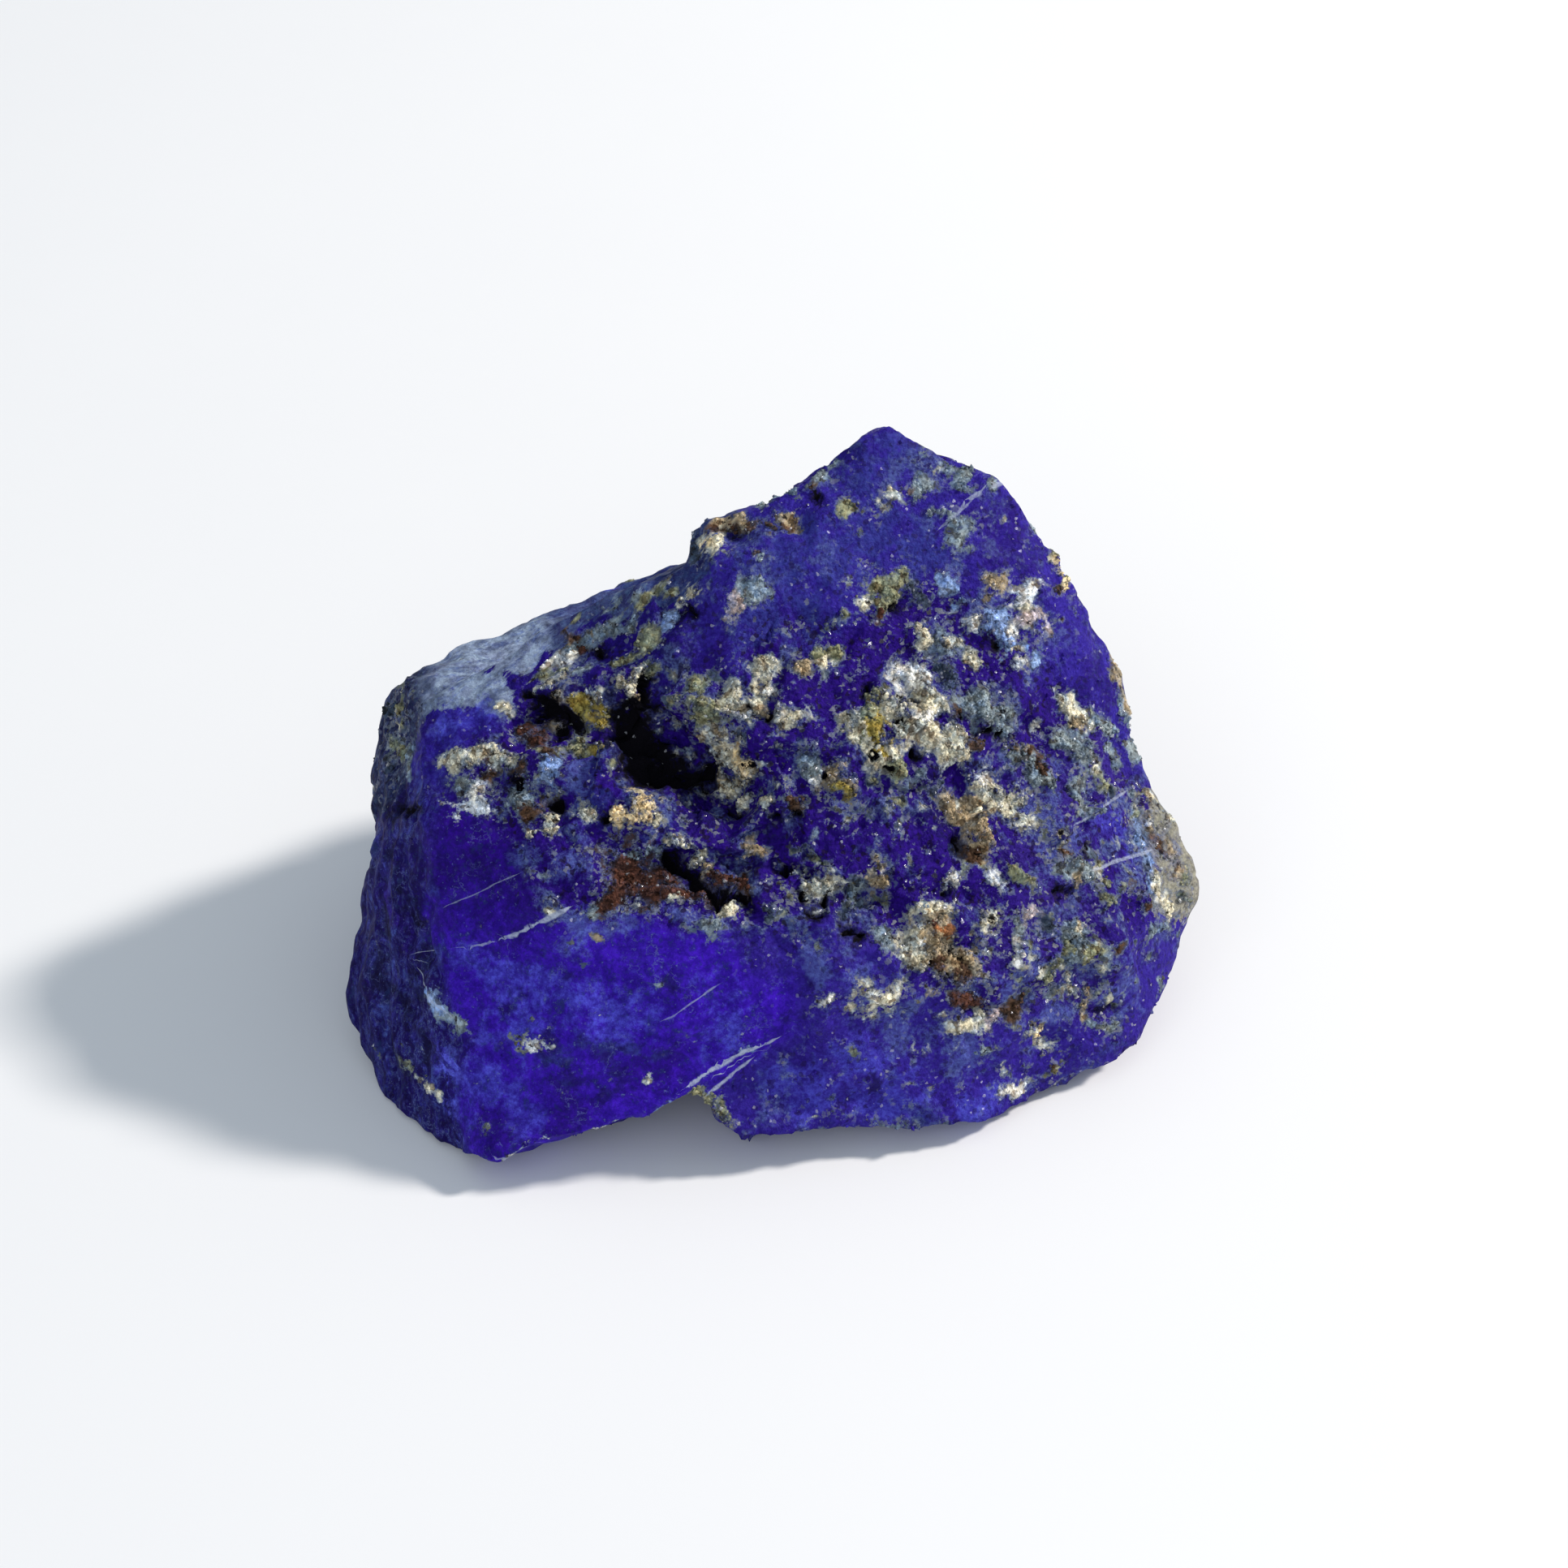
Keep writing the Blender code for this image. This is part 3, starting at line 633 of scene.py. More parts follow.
# Blots: right, down and reach in the view. Streaks: both ends and half the width.
MINERAL_PATCHES = {
    "white": [
        (583, 985, 22), (1262, 735, 18), (1251, 776, 14), (1203, 768, 12), (1255, 820, 11),
        (1122, 831, 18), (1140, 883, 22), (1214, 968, 16), (1174, 1086, 10), (1225, 1086, 10),
        (1137, 1167, 15), (1022, 1230, 11), (1248, 1346, 11), (1129, 1289, 6), (782, 1109, 8),
        (782, 1237, 5), (745, 1250, 5), (1160, 1250, 5), (1238, 1346, 1256, 1344, 11),
        (912, 878, 8), (946, 848, 11), (690, 813, 8), (703, 806, 8), (672, 823, 700, 808, 4),
        (728, 853, 6), (1112, 832, 1136, 838, 14), (1276, 892, 6), (1003, 956, 8),
        (650, 1284, 676, 1288, 4), (1416, 1006, 1423, 1034, 2.5), (1256, 1150, 1254, 1185, 3),
        (1080, 1228, 9), (1198, 1269, 8), (1242, 1346, 11), (620, 1428, 780, 1382, 3),
    ],
    "cream": [
        (878, 672, 16), (890, 647, 9), (583, 933, 18), (606, 936, 14), (561, 943, 11),
        (657, 1029, 8), (679, 1014, 12), (901, 866, 22), (945, 825, 14), (971, 888, 18),
        (1066, 746, 9), (1015, 810, 12), (1140, 787, 12), (1200, 813, 10), (1140, 854, 14),
        (1055, 883, 14), (1174, 905, 22), (1166, 924, 15), (1318, 872, 11), (1351, 898, 10),
        (1255, 987, 15), (1002, 1090, 12), (1022, 1093, 11), (1220, 1132, 12), (1181, 1267, 12),
        (1277, 1268, 12), (1286, 1287, 8), (835, 1109, 12), (897, 1116, 11), (797, 1330, 7),
        (905, 1386, 6), (898, 938, 910, 952, 24), (892, 968, 898, 972, 13),
        (1128, 1158, 1134, 1178, 17), (1136, 1120, 1158, 1122, 13), (1222, 1130, 13),
        (860, 1057, 9), (836, 1042, 12), (813, 1008, 8), (722, 1003, 12), (907, 973, 9),
        (916, 987, 10), (941, 990, 11), (884, 906, 16), (892, 870, 14), (925, 866, 940, 852, 12),
        (905, 845, 9), (838, 738, 10), (852, 731, 9), (862, 725, 7), (655, 847, 692, 833, 4),
        (766, 840, 10), (785, 832, 11), (776, 850, 8), (620, 872, 8), (736, 862, 10),
        (1066, 900, 1090, 930, 20), (1096, 866, 1140, 872, 16), (1118, 894, 1150, 904, 14),
        (1156, 905, 1184, 928, 19), (1140, 850, 1160, 868, 10), (1204, 968, 1232, 976, 10),
        (1242, 996, 1262, 1012, 11), (1186, 990, 1200, 1000, 8), (1256, 820, 9), (1206, 822, 9),
        (1140, 792, 1176, 790, 9), (1310, 1032, 9), (1424, 1074, 1438, 1128, 9), (1330, 1143, 10),
        (1322, 1212, 1332, 1226, 6), (1098, 608, 13), (1297, 685, 7), (886, 664, 9),
        (868, 666, 6), (1086, 1234, 22), (1132, 1168, 19), (1136, 1184, 9), (1185, 1263, 16),
        (1211, 1258, 14), (1268, 748, 12), (1272, 772, 9), (1250, 800, 9), (1290, 1294, 7),
        (509, 1323, 538, 1347, 5), (545, 942, 575, 926, 9), (575, 922, 627, 934, 9),
        (1312, 862, 1345, 885, 8), (1200, 960, 1225, 990, 10),
    ],
    "sand": [
        (1146, 1160, 8), (878, 1080, 6), (787, 997, 18), (764, 1003, 11), (908, 936, 18),
        (922, 944, 12), (894, 964, 14), (922, 952, 10), (876, 672, 14), (1279, 1273, 9),
        (1297, 682, 1312, 722, 7),
    ],
    "tan": [
        (915, 648, 8), (990, 822, 10), (1225, 722, 13), (1029, 957, 17), (1044, 964, 12),
        (1333, 883, 11), (933, 1045, 12), (1085, 1086, 14), (1078, 1067, 11), (1185, 1174, 15),
        (731, 1156, 6), (879, 1371, 9), (1150, 1158, 1168, 1188, 27),
        (1186, 1180, 1200, 1190, 12), (872, 1066, 8), (888, 968, 9), (862, 912, 8),
        (932, 868, 11), (790, 745, 830, 719, 5), (700, 796, 7), (729, 785, 6), (786, 862, 6),
        (690, 858, 8), (688, 893, 7), (1180, 994, 1206, 1030, 13), (1252, 918, 1262, 922, 8),
        (957, 636, 980, 642, 9), (1328, 1088, 1332, 1060, 7), (1410, 975, 1424, 1032, 5),
        (1440, 1030, 1452, 1074, 7), (1343, 1222, 1336, 1252, 4), (1386, 900, 1396, 930, 4),
        (880, 643, 922, 641, 6), (1366, 800, 1378, 830, 7), (1376, 828, 1393, 880, 9),
        (1140, 1128, 1160, 1134, 11), (1180, 1180, 9), (1195, 985, 1205, 1050, 13),
    ],
    "ochre": [
        (1077, 902, 26), (715, 866, 10), (736, 880, 11), (728, 912, 10),
        (1078, 900, 1092, 928, 13), (1030, 964, 1042, 974, 10), (725, 862, 740, 884, 11),
        (738, 876, 748, 890, 7),
    ],
    "olive": [
        (803, 784, 10), (594, 1393, 9), (866, 880, 22), (858, 848, 13), (660, 837, 702, 820, 4),
        (755, 818, 800, 792, 5), (790, 790, 808, 775, 5), (801, 826, 8), (711, 915, 15),
        (1098, 936, 1112, 958, 10), (1008, 806, 1030, 802, 9), (614, 1280, 645, 1284, 4),
        (1362, 1112, 9), (1456, 1078, 1462, 1108, 5), (1324, 1170, 1340, 1178, 12),
        (1248, 1072, 1262, 1080, 9), (1360, 968, 7), (480, 905, 490, 935, 7), (1047, 623, 13),
        (1294, 676, 1311, 714, 6), (1090, 725, 18), (1112, 708, 12), (1085, 746, 14),
        (1022, 770, 9), (1036, 761, 7), (770, 706, 8), (712, 757, 6), (1300, 1312, 8),
        (1291, 1321, 6), (1225, 1291, 6), (487, 1304, 509, 1323, 6), (457, 1286, 468, 1301, 5),
        (1080, 850, 1060, 905, 8), (790, 741, 831, 722, 8), (862, 1345, 900, 1386, 7),
    ],
    "brown": [
        (930, 652, 9), (955, 650, 8), (598, 950, 11), (636, 945, 12), (658, 997, 18),
        (978, 985, 9), (1207, 916, 8), (1185, 879, 7), (983, 990, 9), (1285, 942, 10),
        (1200, 1050, 15), (1160, 1186, 20), (1251, 1241, 13), (1299, 1311, 8), (925, 1096, 10),
        (1178, 1196, 1186, 1204, 13), (796, 1006, 5), (703, 785, 9), (672, 924, 8),
        (1182, 874, 8), (1198, 916, 8), (1270, 926, 7), (945, 655, 990, 634, 4), (1316, 1050, 9),
        (1408, 1113, 10), (1400, 1088, 1404, 1104, 4), (1427, 1036, 1436, 1052, 6),
        (1374, 1160, 5), (1003, 596, 7), (1100, 620, 5), (1301, 731, 6), (885, 650, 940, 650, 6),
        (930, 649, 950, 650, 7), (926, 680, 6), (880, 652, 975, 645, 6),
    ],
    "rust": [(1150, 1140, 1166, 1146, 13), (1120, 606, 4)],
    "garnet": [
        (1151, 1137, 17), (1179, 1232, 8), (1203, 1235, 8), (812, 1096, 18), (765, 1098, 20),
        (775, 1058, 14), (748, 1112, 14), (845, 1104, 15), (772, 1064, 802, 1084, 27),
        (756, 1094, 776, 1098, 14), (800, 1098, 862, 1104, 13), (884, 1086, 922, 1090, 10),
        (716, 800, 9), (665, 905, 13), (648, 898, 10), (1082, 756, 8),
        (1175, 1230, 1210, 1238, 8),
    ],
    "grey": [
        (927, 729, 18), (568, 968, 16), (640, 975, 20), (1159, 791, 18), (1222, 872, 20),
        (1000, 942, 14), (1303, 913, 11), (1052, 1100, 12), (1140, 1119, 13), (1092, 1156, 13),
        (875, 1143, 13), (1328, 1150, 1330, 1180, 17), (770, 1050, 815, 1052, 7), (734, 1123, 8),
        (816, 1219, 6), (700, 828, 745, 815, 3), (1200, 868, 1232, 882, 20),
        (1250, 930, 1290, 960, 10), (1010, 584, 11), (1315, 915, 1340, 925, 15),
        (1335, 972, 1342, 998, 12), (1322, 1062, 1342, 1076, 12), (1420, 1146, 1440, 1142, 8),
        (1380, 850, 1396, 928, 8), (1366, 925, 1376, 942, 9), (1430, 1212, 1428, 1226, 4),
        (495, 925, 505, 955, 6), (1132, 603, 13), (1168, 583, 10), (1192, 590, 14),
        (1228, 597, 10), (1186, 655, 15), (1178, 640, 9), (1150, 632, 9), (1272, 648, 9),
        (1247, 1120, 1256, 1150, 4), (745, 748, 785, 728, 6), (940, 622, 975, 606, 9),
        (933, 690, 8), (1394, 884, 1398, 930, 9), (1216, 1297, 10), (1373, 1267, 8),
        (1349, 1258, 6), (546, 1249, 566, 1262, 11), (1345, 885, 1374, 902, 8),
        (700, 800, 780, 765, 8), (1215, 860, 1240, 905, 16), (1100, 1390, 1170, 1400, 4),
        (990, 600, 1030, 565, 6),
    ],
    "slate": [
        (1129, 728, 14), (1160, 824, 1172, 838, 9), (470, 880, 484, 872, 9), (476, 950, 9),
        (852, 650, 856, 690, 7), (858, 641, 870, 636, 6), (1421, 1248, 5),
    ],
    "ice": [
        (675, 948, 15), (1229, 772, 18), (1244, 794, 16), (1277, 809, 10), (824, 757, 9),
        (822, 770, 8), (1396, 1000, 1412, 1044, 4), (1415, 1052, 1417, 1096, 5),
        (912, 1299, 950, 1287, 3), (1171, 720, 12), (1183, 742, 9), (531, 1227, 546, 1249, 9),
        (700, 1405, 830, 1357, 2),
    ],
    "pink": [
        (904, 744, 14), (1270, 761, 18), (1285, 776, 10), (1222, 1256, 14), (1270, 1126, 12),
        (921, 669, 5),
    ],
    # pits, fissures and slots painted near black: partly a dark lining, partly painted shade in the
    # holes
    "black": [
        (776, 886, 790, 932, 23), (1150, 1186, 5), (1172, 1170, 4), (1162, 1204, 5),
        (812, 928, 830, 944, 14), (672, 878, 11), (690, 896, 8), (790, 948, 826, 962, 20),
        (830, 963, 878, 957, 13), (800, 915, 820, 938, 11), (797, 836, 799, 868, 8),
        (874, 932, 884, 946, 4), (928, 948, 7), (908, 1004, 7), (950, 883, 7), (918, 868, 4),
        (668, 862, 11), (684, 872, 15), (700, 884, 12), (712, 890, 8), (688, 905, 7),
        (655, 853, 7), (824, 1060, 862, 1082, 9), (862, 1084, 884, 1108, 8),
        (893, 1104, 926, 1106, 6), (832, 752, 858, 752, 4), (738, 802, 5),
        (683, 990, 690, 1005, 7), (630, 960, 640, 972, 6), (519, 1134, 3.5),
        (480, 1001, 516, 992, 2.5), (1324, 1158, 1338, 1154, 3), (1358, 1243, 1372, 1242, 4),
        (1300, 1096, 1315, 1098, 5), (902, 658, 912, 658, 4), (750, 1011, 7), (972, 1075, 9),
        (990, 1104, 9), (1015, 1106, 8), (1050, 1146, 8), (1064, 1152, 6), (1068, 850, 6),
        (1107, 861, 7), (1113, 887, 8), (1100, 743, 6), (1226, 791, 7), (1239, 886, 7),
        (1234, 905, 8), (1018, 954, 8), (1007, 613, 5), (1185, 876, 7), (1213, 898, 6),
        (1130, 935, 6), (1097, 945, 6), (1080, 930, 5), (1200, 1052, 6), (1182, 1040, 5),
        (1060, 1090, 5), (1140, 1190, 6), (1165, 1200, 7), (1180, 1180, 5), (1150, 1165, 5),
        (1203, 1245, 6), (1205, 1268, 6), (1262, 1236, 5), (1310, 1030, 5), (1340, 1050, 5),
        (1172, 1098, 4), (1220, 1132, 5), (1078, 1068, 4), (1008, 1128, 6), (880, 1110, 6),
        (950, 1010, 6), (1046, 975, 5), (985, 1000, 5), (655, 1005, 6), (505, 998, 6),
    ],
}

# Veins of white mineral, thin sheets that cut through the rock: both ends, half the width and how
# pale they are. They are straight, but for a little wander.
VEINS = [
    (518, 1174, 598, 1162, 1.3, 0.45), (598, 1162, 631, 1152, 1.6, 0.7),
    (631, 1152, 692, 1125, 3.4, 0.95), (557, 1114, 629, 1080, 1.0, 0.4),
    (827, 1252, 876, 1219, 1.1, 0.45), (1168, 643, 1205, 608, 2.2, 0.55),
    (1205, 608, 1232, 596, 3.0, 0.65), (1333, 1013, 1385, 978, 2.0, 0.6),
    (1352, 1071, 1411, 1049, 2.4, 0.65), (517, 1203, 531, 1227, 2.4, 0.7),
    (531, 1227, 547, 1248, 2.8, 0.6), (620, 1428, 700, 1402, 1.6, 0.6),
    (856, 1331, 912, 1299, 3.4, 0.95), (912, 1299, 950, 1284, 2.4, 0.8),
    (880, 1342, 918, 1312, 2.2, 0.8), (700, 1402, 830, 1357, 1.4, 0.5),
]
VEIN_WANDER = [((2.2, 0.10), 190), ((0.7, 0.04), 193)]
VEIN_NEAR = (0.45, 1.5)    # mm from a vein within which it can show, aside and in all
VEIN_ENDS = (0.2, 0.8)     # mm past its end, where it begins to narrow and where it is gone


def skin_values(points):
    """How far inside the pale kinds of skin the points lie, the mean colour of the other kinds
    and of the pale ones, then graininess, fibres and freckles. In a mean, a kind weighs more the
    nearer its places are."""
    places = {name: [stone_place(*seen) for seen in rows] for name, rows in SKIN_PLACES.items()}
    for name, rows in HIDDEN_SKIN_PLACES.items():
        places[name] = places.get(name, []) + rows
    distances = np.stack([
        np.min([np.linalg.norm(points - place, axis=1) for place in rows], axis=0)
        for rows in places.values()])
    weights = np.exp(-(distances - distances.min(axis=0)) / SKIN_BORDER)
    rows = np.array([[*colour, *rest] for colour, *rest in (SKINS[name] for name in places)])
    pale = np.array([name in PALE_SKINS for name in places])
    inside = (distances[~pale].min(axis=0) - distances[pale].min(axis=0)) / 2
    colours = [weights[kinds].T @ rows[kinds, :3] / (weights[kinds].sum(axis=0)[:, None] + 1e-30)
               for kinds in (~pale, pale)]
    others = weights.T @ rows[:, 3:] / weights.sum(axis=0)[:, None]
    return np.clip(inside, -PALE_LIMIT, PALE_LIMIT), *colours, *others.T


def patch_shares(points, patches):
    """For each kind of patch, the largest share of any of its stretches: 1 in its middle, 0 at its
    reach, below 0 outside."""
    shares = np.full((len(patches), len(points)), FAR_OUTSIDE)
    for share, rows in zip(shares, patches.values()):
        for start, end, reach in stretches(rows):
            inside = (reach - from_stretch(points, start, end)) / max(reach, SMALLEST_PATCH)
            np.maximum(share, np.where(inside < 0, OUTER_FALL * inside, inside), out=share)
    return shares


def strongest(shares, patches, colours):
    """The largest of the shares at each point, and the colour of its kind."""
    table = np.array([colours[name] for name in patches])
    return shares.max(axis=0), table[shares.argmax(axis=0)]


def vein_values(points):
    """Distance from the sheet of the nearest vein, signed by its side, the vein's half width
    there, which narrows to nothing past its ends, and how pale it is."""
    aside_limit, limit = VEIN_NEAR
    distance, width, pale = np.ones(len(points)), np.zeros(len(points)), np.zeros(len(points))
    for row in VEINS:
        *seen, half, paleness = row
        (start, end, half), = stretches([(*seen, half)])
        along = end - start
        inwards = smooth_normals[np.linalg.norm(points - (start + end) / 2, axis=1).argmin()]
        aside = (points - start) @ unit(np.cross(along, inwards))
        from_vein = from_stretch(points, start, end)
        beyond = np.sqrt(np.maximum(from_vein ** 2 - aside ** 2, 0))
        nearer = (from_vein < limit) & (np.abs(aside) < np.abs(distance))
        distance = np.where(nearer, aside, distance)
        shown = half * (1 - smooth_step(beyond, *VEIN_ENDS)) * (np.abs(aside) < aside_limit)
        width = np.where(nearer, shown, width)
        pale = np.where(nearer, paleness, pale)
    return distance, width, pale


inside_pale, blue_colour, pale_colour, grainy, hanging, sloping, freckled = skin_values(
    wandered(smooth_points, SKIN_WANDER))
cloud_share, cloud_colour = strongest(
    patch_shares(wandered(smooth_points, CLOUD_WANDER), BLUE_CLOUDS), BLUE_CLOUDS, CLOUD_COLOURS)
shares = patch_shares(wandered(smooth_points, MINERAL_WANDER), MINERAL_PATCHES)
# The black patches are the pits, painted near black (partly a dark lining, partly painted shade);
# they sink and darken the skin instead of colouring it as a mineral.
black, sand = (list(MINERAL_PATCHES).index(name) for name in ("black", "sand"))
pit_share, nodule_share = shares[black].copy(), shares[sand].copy()
shares[black] = FAR_OUTSIDE
mineral_share, mineral_colour = strongest(shares, MINERAL_PATCHES, MINERAL_COLOURS)
vein_distance, vein_width, vein_pale = vein_values(wandered(smooth_points, VEIN_WANDER))

# Stray freckles, where small and broad noise add up on freckled skin; more noise picks their
# mineral out of the list. Of each noise: width in mm, height and seed.
FRECKLE_WAVES = [(0.8, 0.9, 160), (4.5, 0.7, 161)]
FRECKLE_PICK = (2.2, 3.5, 162)
FRECKLE_LIMIT = 1.15
FRECKLED_SKIN = 0.9
freckle_share = (sum(swell(smooth_points, *size) for size in FRECKLE_WAVES)
                 - FRECKLE_LIMIT + FRECKLED_SKIN * freckled)
freckle_pick = np.clip(len(FRECKLE_COLOURS) / 2 + swell(smooth_points, *FRECKLE_PICK),
                       0, len(FRECKLE_COLOURS) - 0.01).astype(int)
freckle_colours = np.array([MINERAL_COLOURS[name] for name in FRECKLE_COLOURS])[freckle_pick]
is_freckle = freckle_share > mineral_share
mineral_colour = np.where(is_freckle[:, None], freckle_colours, mineral_colour)
mineral_share = np.maximum(mineral_share, freckle_share)

# Fibres: the minerals lie in thin layers, which crop out down the left side and along the shelf.
SIDE_FIBRES = unit(np.array([0.10, -0.42, -0.90]))
SHELF_FIBRES = unit(np.array([0.76, 0.58, 0.28]))
FIBRE_STRETCH = 8.0
FIBRE_WANDER = (4.0, 0.8)
PLANE_LEAN = 0.6


def ridges(points, line, width, seed):
    """Noise of two widths, drawn out along the line by the fibres' stretch."""
    drawn = wandered(points, [(FIBRE_WANDER, seed + 10)])
    drawn = drawn - (1 - 1 / FIBRE_STRETCH) * (drawn @ line)[:, None] * line
    return 0.65 * wave_noise(drawn, width, seed) + 0.5 * wave_noise(drawn, width * 0.4, seed + 1)


def cells(points, width, seed):
    """Grains: for each point, how far inside its cell it lies (0 on the edge), where it lies from
    the cell's own place, and the cell's number of 0 to 255. A cell is what lies nearest to one
    random place in each cube of the width."""
    random = np.random.default_rng(seed)
    order = np.tile(random.permutation(256), 2)
    shifts = random.random((256, 3))
    cube = np.floor(points / width).astype(int)
    inside = points / width - cube
    nearest = np.full(len(points), np.inf)
    second = nearest.copy()
    grain = np.zeros(len(points), dtype=int)
    offset = np.zeros((len(points), 3))
    for step in np.ndindex(3, 3, 3):
        x, y, z = (cube + step - 1).T & 255
        name = order[order[order[x] + y] + z]
        away = inside - shifts[name] - step + 1
        distance = np.linalg.norm(away, axis=1)
        closer = distance < nearest
        second = np.where(closer, nearest, np.minimum(second, distance))
        grain = np.where(closer, name, grain)
        offset = np.where(closer[:, None], away, offset)
        nearest = np.minimum(nearest, distance)
    return second - nearest, offset, grain


def chipped(points, width, height, tilt, seed):
    """Small fracture planes: each cell lies higher or lower by a share of the height, and leans
    by a share of the tilt to a side of its own."""
    random = np.random.default_rng(seed + 1)
    levels = random.uniform(-1, 1, 256)
    leans = random.normal(size=(256, 3)) * PLANE_LEAN
    _, offset, cell = cells(points, width, seed)
    return height * levels[cell] + tilt * width * np.sum(offset * leans[cell], axis=1)


# Relief of the skin: widths and heights in mm, and seeds. Fracture planes also lean.
PLANES = [(3.4, 0.22, 0.15, 207), (1.5, 0.10, 0.13, 209)]
ROUGHNESS = [(3.0, 0.28, 199), (1.5, 0.16, 200), (0.8, 0.08, 201), (0.45, 0.035, 202)]
SIDE_RIDGES = [(1.8, 0.62, 170), (0.9, 0.16, 175)]
SHELF_RIDGES = (1.1, 0.16, 180)
GRAIN_WIDTH, GRAIN_SEED, GRAIN_WANDER = 0.8, 205, [((0.9, 0.25), 203)]
GRAIN_RISE, GRAIN_SWELL, GRAIN_HALF = 0.04, 0.16, 0.6
GRAIN_WAVES = (0.55, 0.07, 204)
SKIN_WAVES = (1.3, 0.06, 206)
PATCH_RISE, NODULE_RISE, PIT_DEPTH = 0.20, 0.45, 0.95
GRAINY_SINK = 0.16      # what grainy skin lies lower, to make up for what stands out of it
RESTING = 0.01          # mm above the ground, below which the skin stays flat on it
GROUND_FADE = 0.6       # mm above the ground over which the relief grows to its full height


def fine_relief(points):
    """Height of the skin's grain along the normal: small fracture planes and noise where it is
    grainy, ridges along the fibres, swollen grains where minerals are, and pits."""
    rough = (sum(chipped(points, *plane) for plane in PLANES)
             + sum(swell(points, *size) for size in ROUGHNESS))
    fibres = hanging * sum(height * ridges(points, SIDE_FIBRES, width, seed)
                           for width, height, seed in SIDE_RIDGES)
    width, height, seed = SHELF_RIDGES
    fibres += height * sloping * ridges(points, SHELF_FIBRES, width, seed)
    inside = cells(wandered(points, GRAIN_WANDER), GRAIN_WIDTH, GRAIN_SEED)[0]
    grains = smooth_step(mineral_share, -0.1, 0.4) * (0.2 + 0.8 * grainy) * (
        GRAIN_RISE + GRAIN_SWELL * np.minimum(inside, GRAIN_HALF) + swell(points, *GRAIN_WAVES))
    domes = PATCH_RISE * smooth_step(mineral_share, 0.0, 0.9)
    domes += NODULE_RISE * np.sqrt(1 - (1 - np.clip(nodule_share, 0, 1)) ** 2)
    return (swell(points, *SKIN_WAVES) + grainy * (rough + domes - GRAINY_SINK) + fibres + grains
            - PIT_DEPTH * smooth_step(pit_share, -0.3, 0.7))


on_ground = smooth_points[:, 2] < RESTING
lift = smooth_step(smooth_points[:, 2], 0.0, GROUND_FADE)
points = smooth_points + (fine_relief(smooth_points) * lift)[:, None] * smooth_normals
points[:, 2] = np.maximum(points[:, 2], 0.0)
points[on_ground, 2] = 0.0


def polygon_mesh(name, points, quads):
    """Quads between points in millimetres, as a mesh in metres."""
    mesh = bpy.data.meshes.new(name)
    mesh.vertices.add(len(points))
    mesh.vertices.foreach_set("co", (points * MM).ravel())
    mesh.loops.add(quads.size)
    mesh.loops.foreach_set("vertex_index", quads.ravel())
    mesh.polygons.add(len(quads))
    mesh.polygons.foreach_set("loop_start", np.arange(0, quads.size, 4))
    mesh.update(calc_edges=True)
    mesh.validate()
    return mesh


def write_values(mesh, values):
    """Each named array as an attribute of the mesh's points: numbers, or colours in rows."""
    for name, value in values.items():
        if value.ndim == 2:
            layer = mesh.attributes.new(name, "FLOAT_COLOR", "POINT")
            layer.data.foreach_set("color", np.column_stack([value, np.ones(len(value))]).ravel())
        else:
            mesh.attributes.new(name, "FLOAT", "POINT").data.foreach_set("value", value)


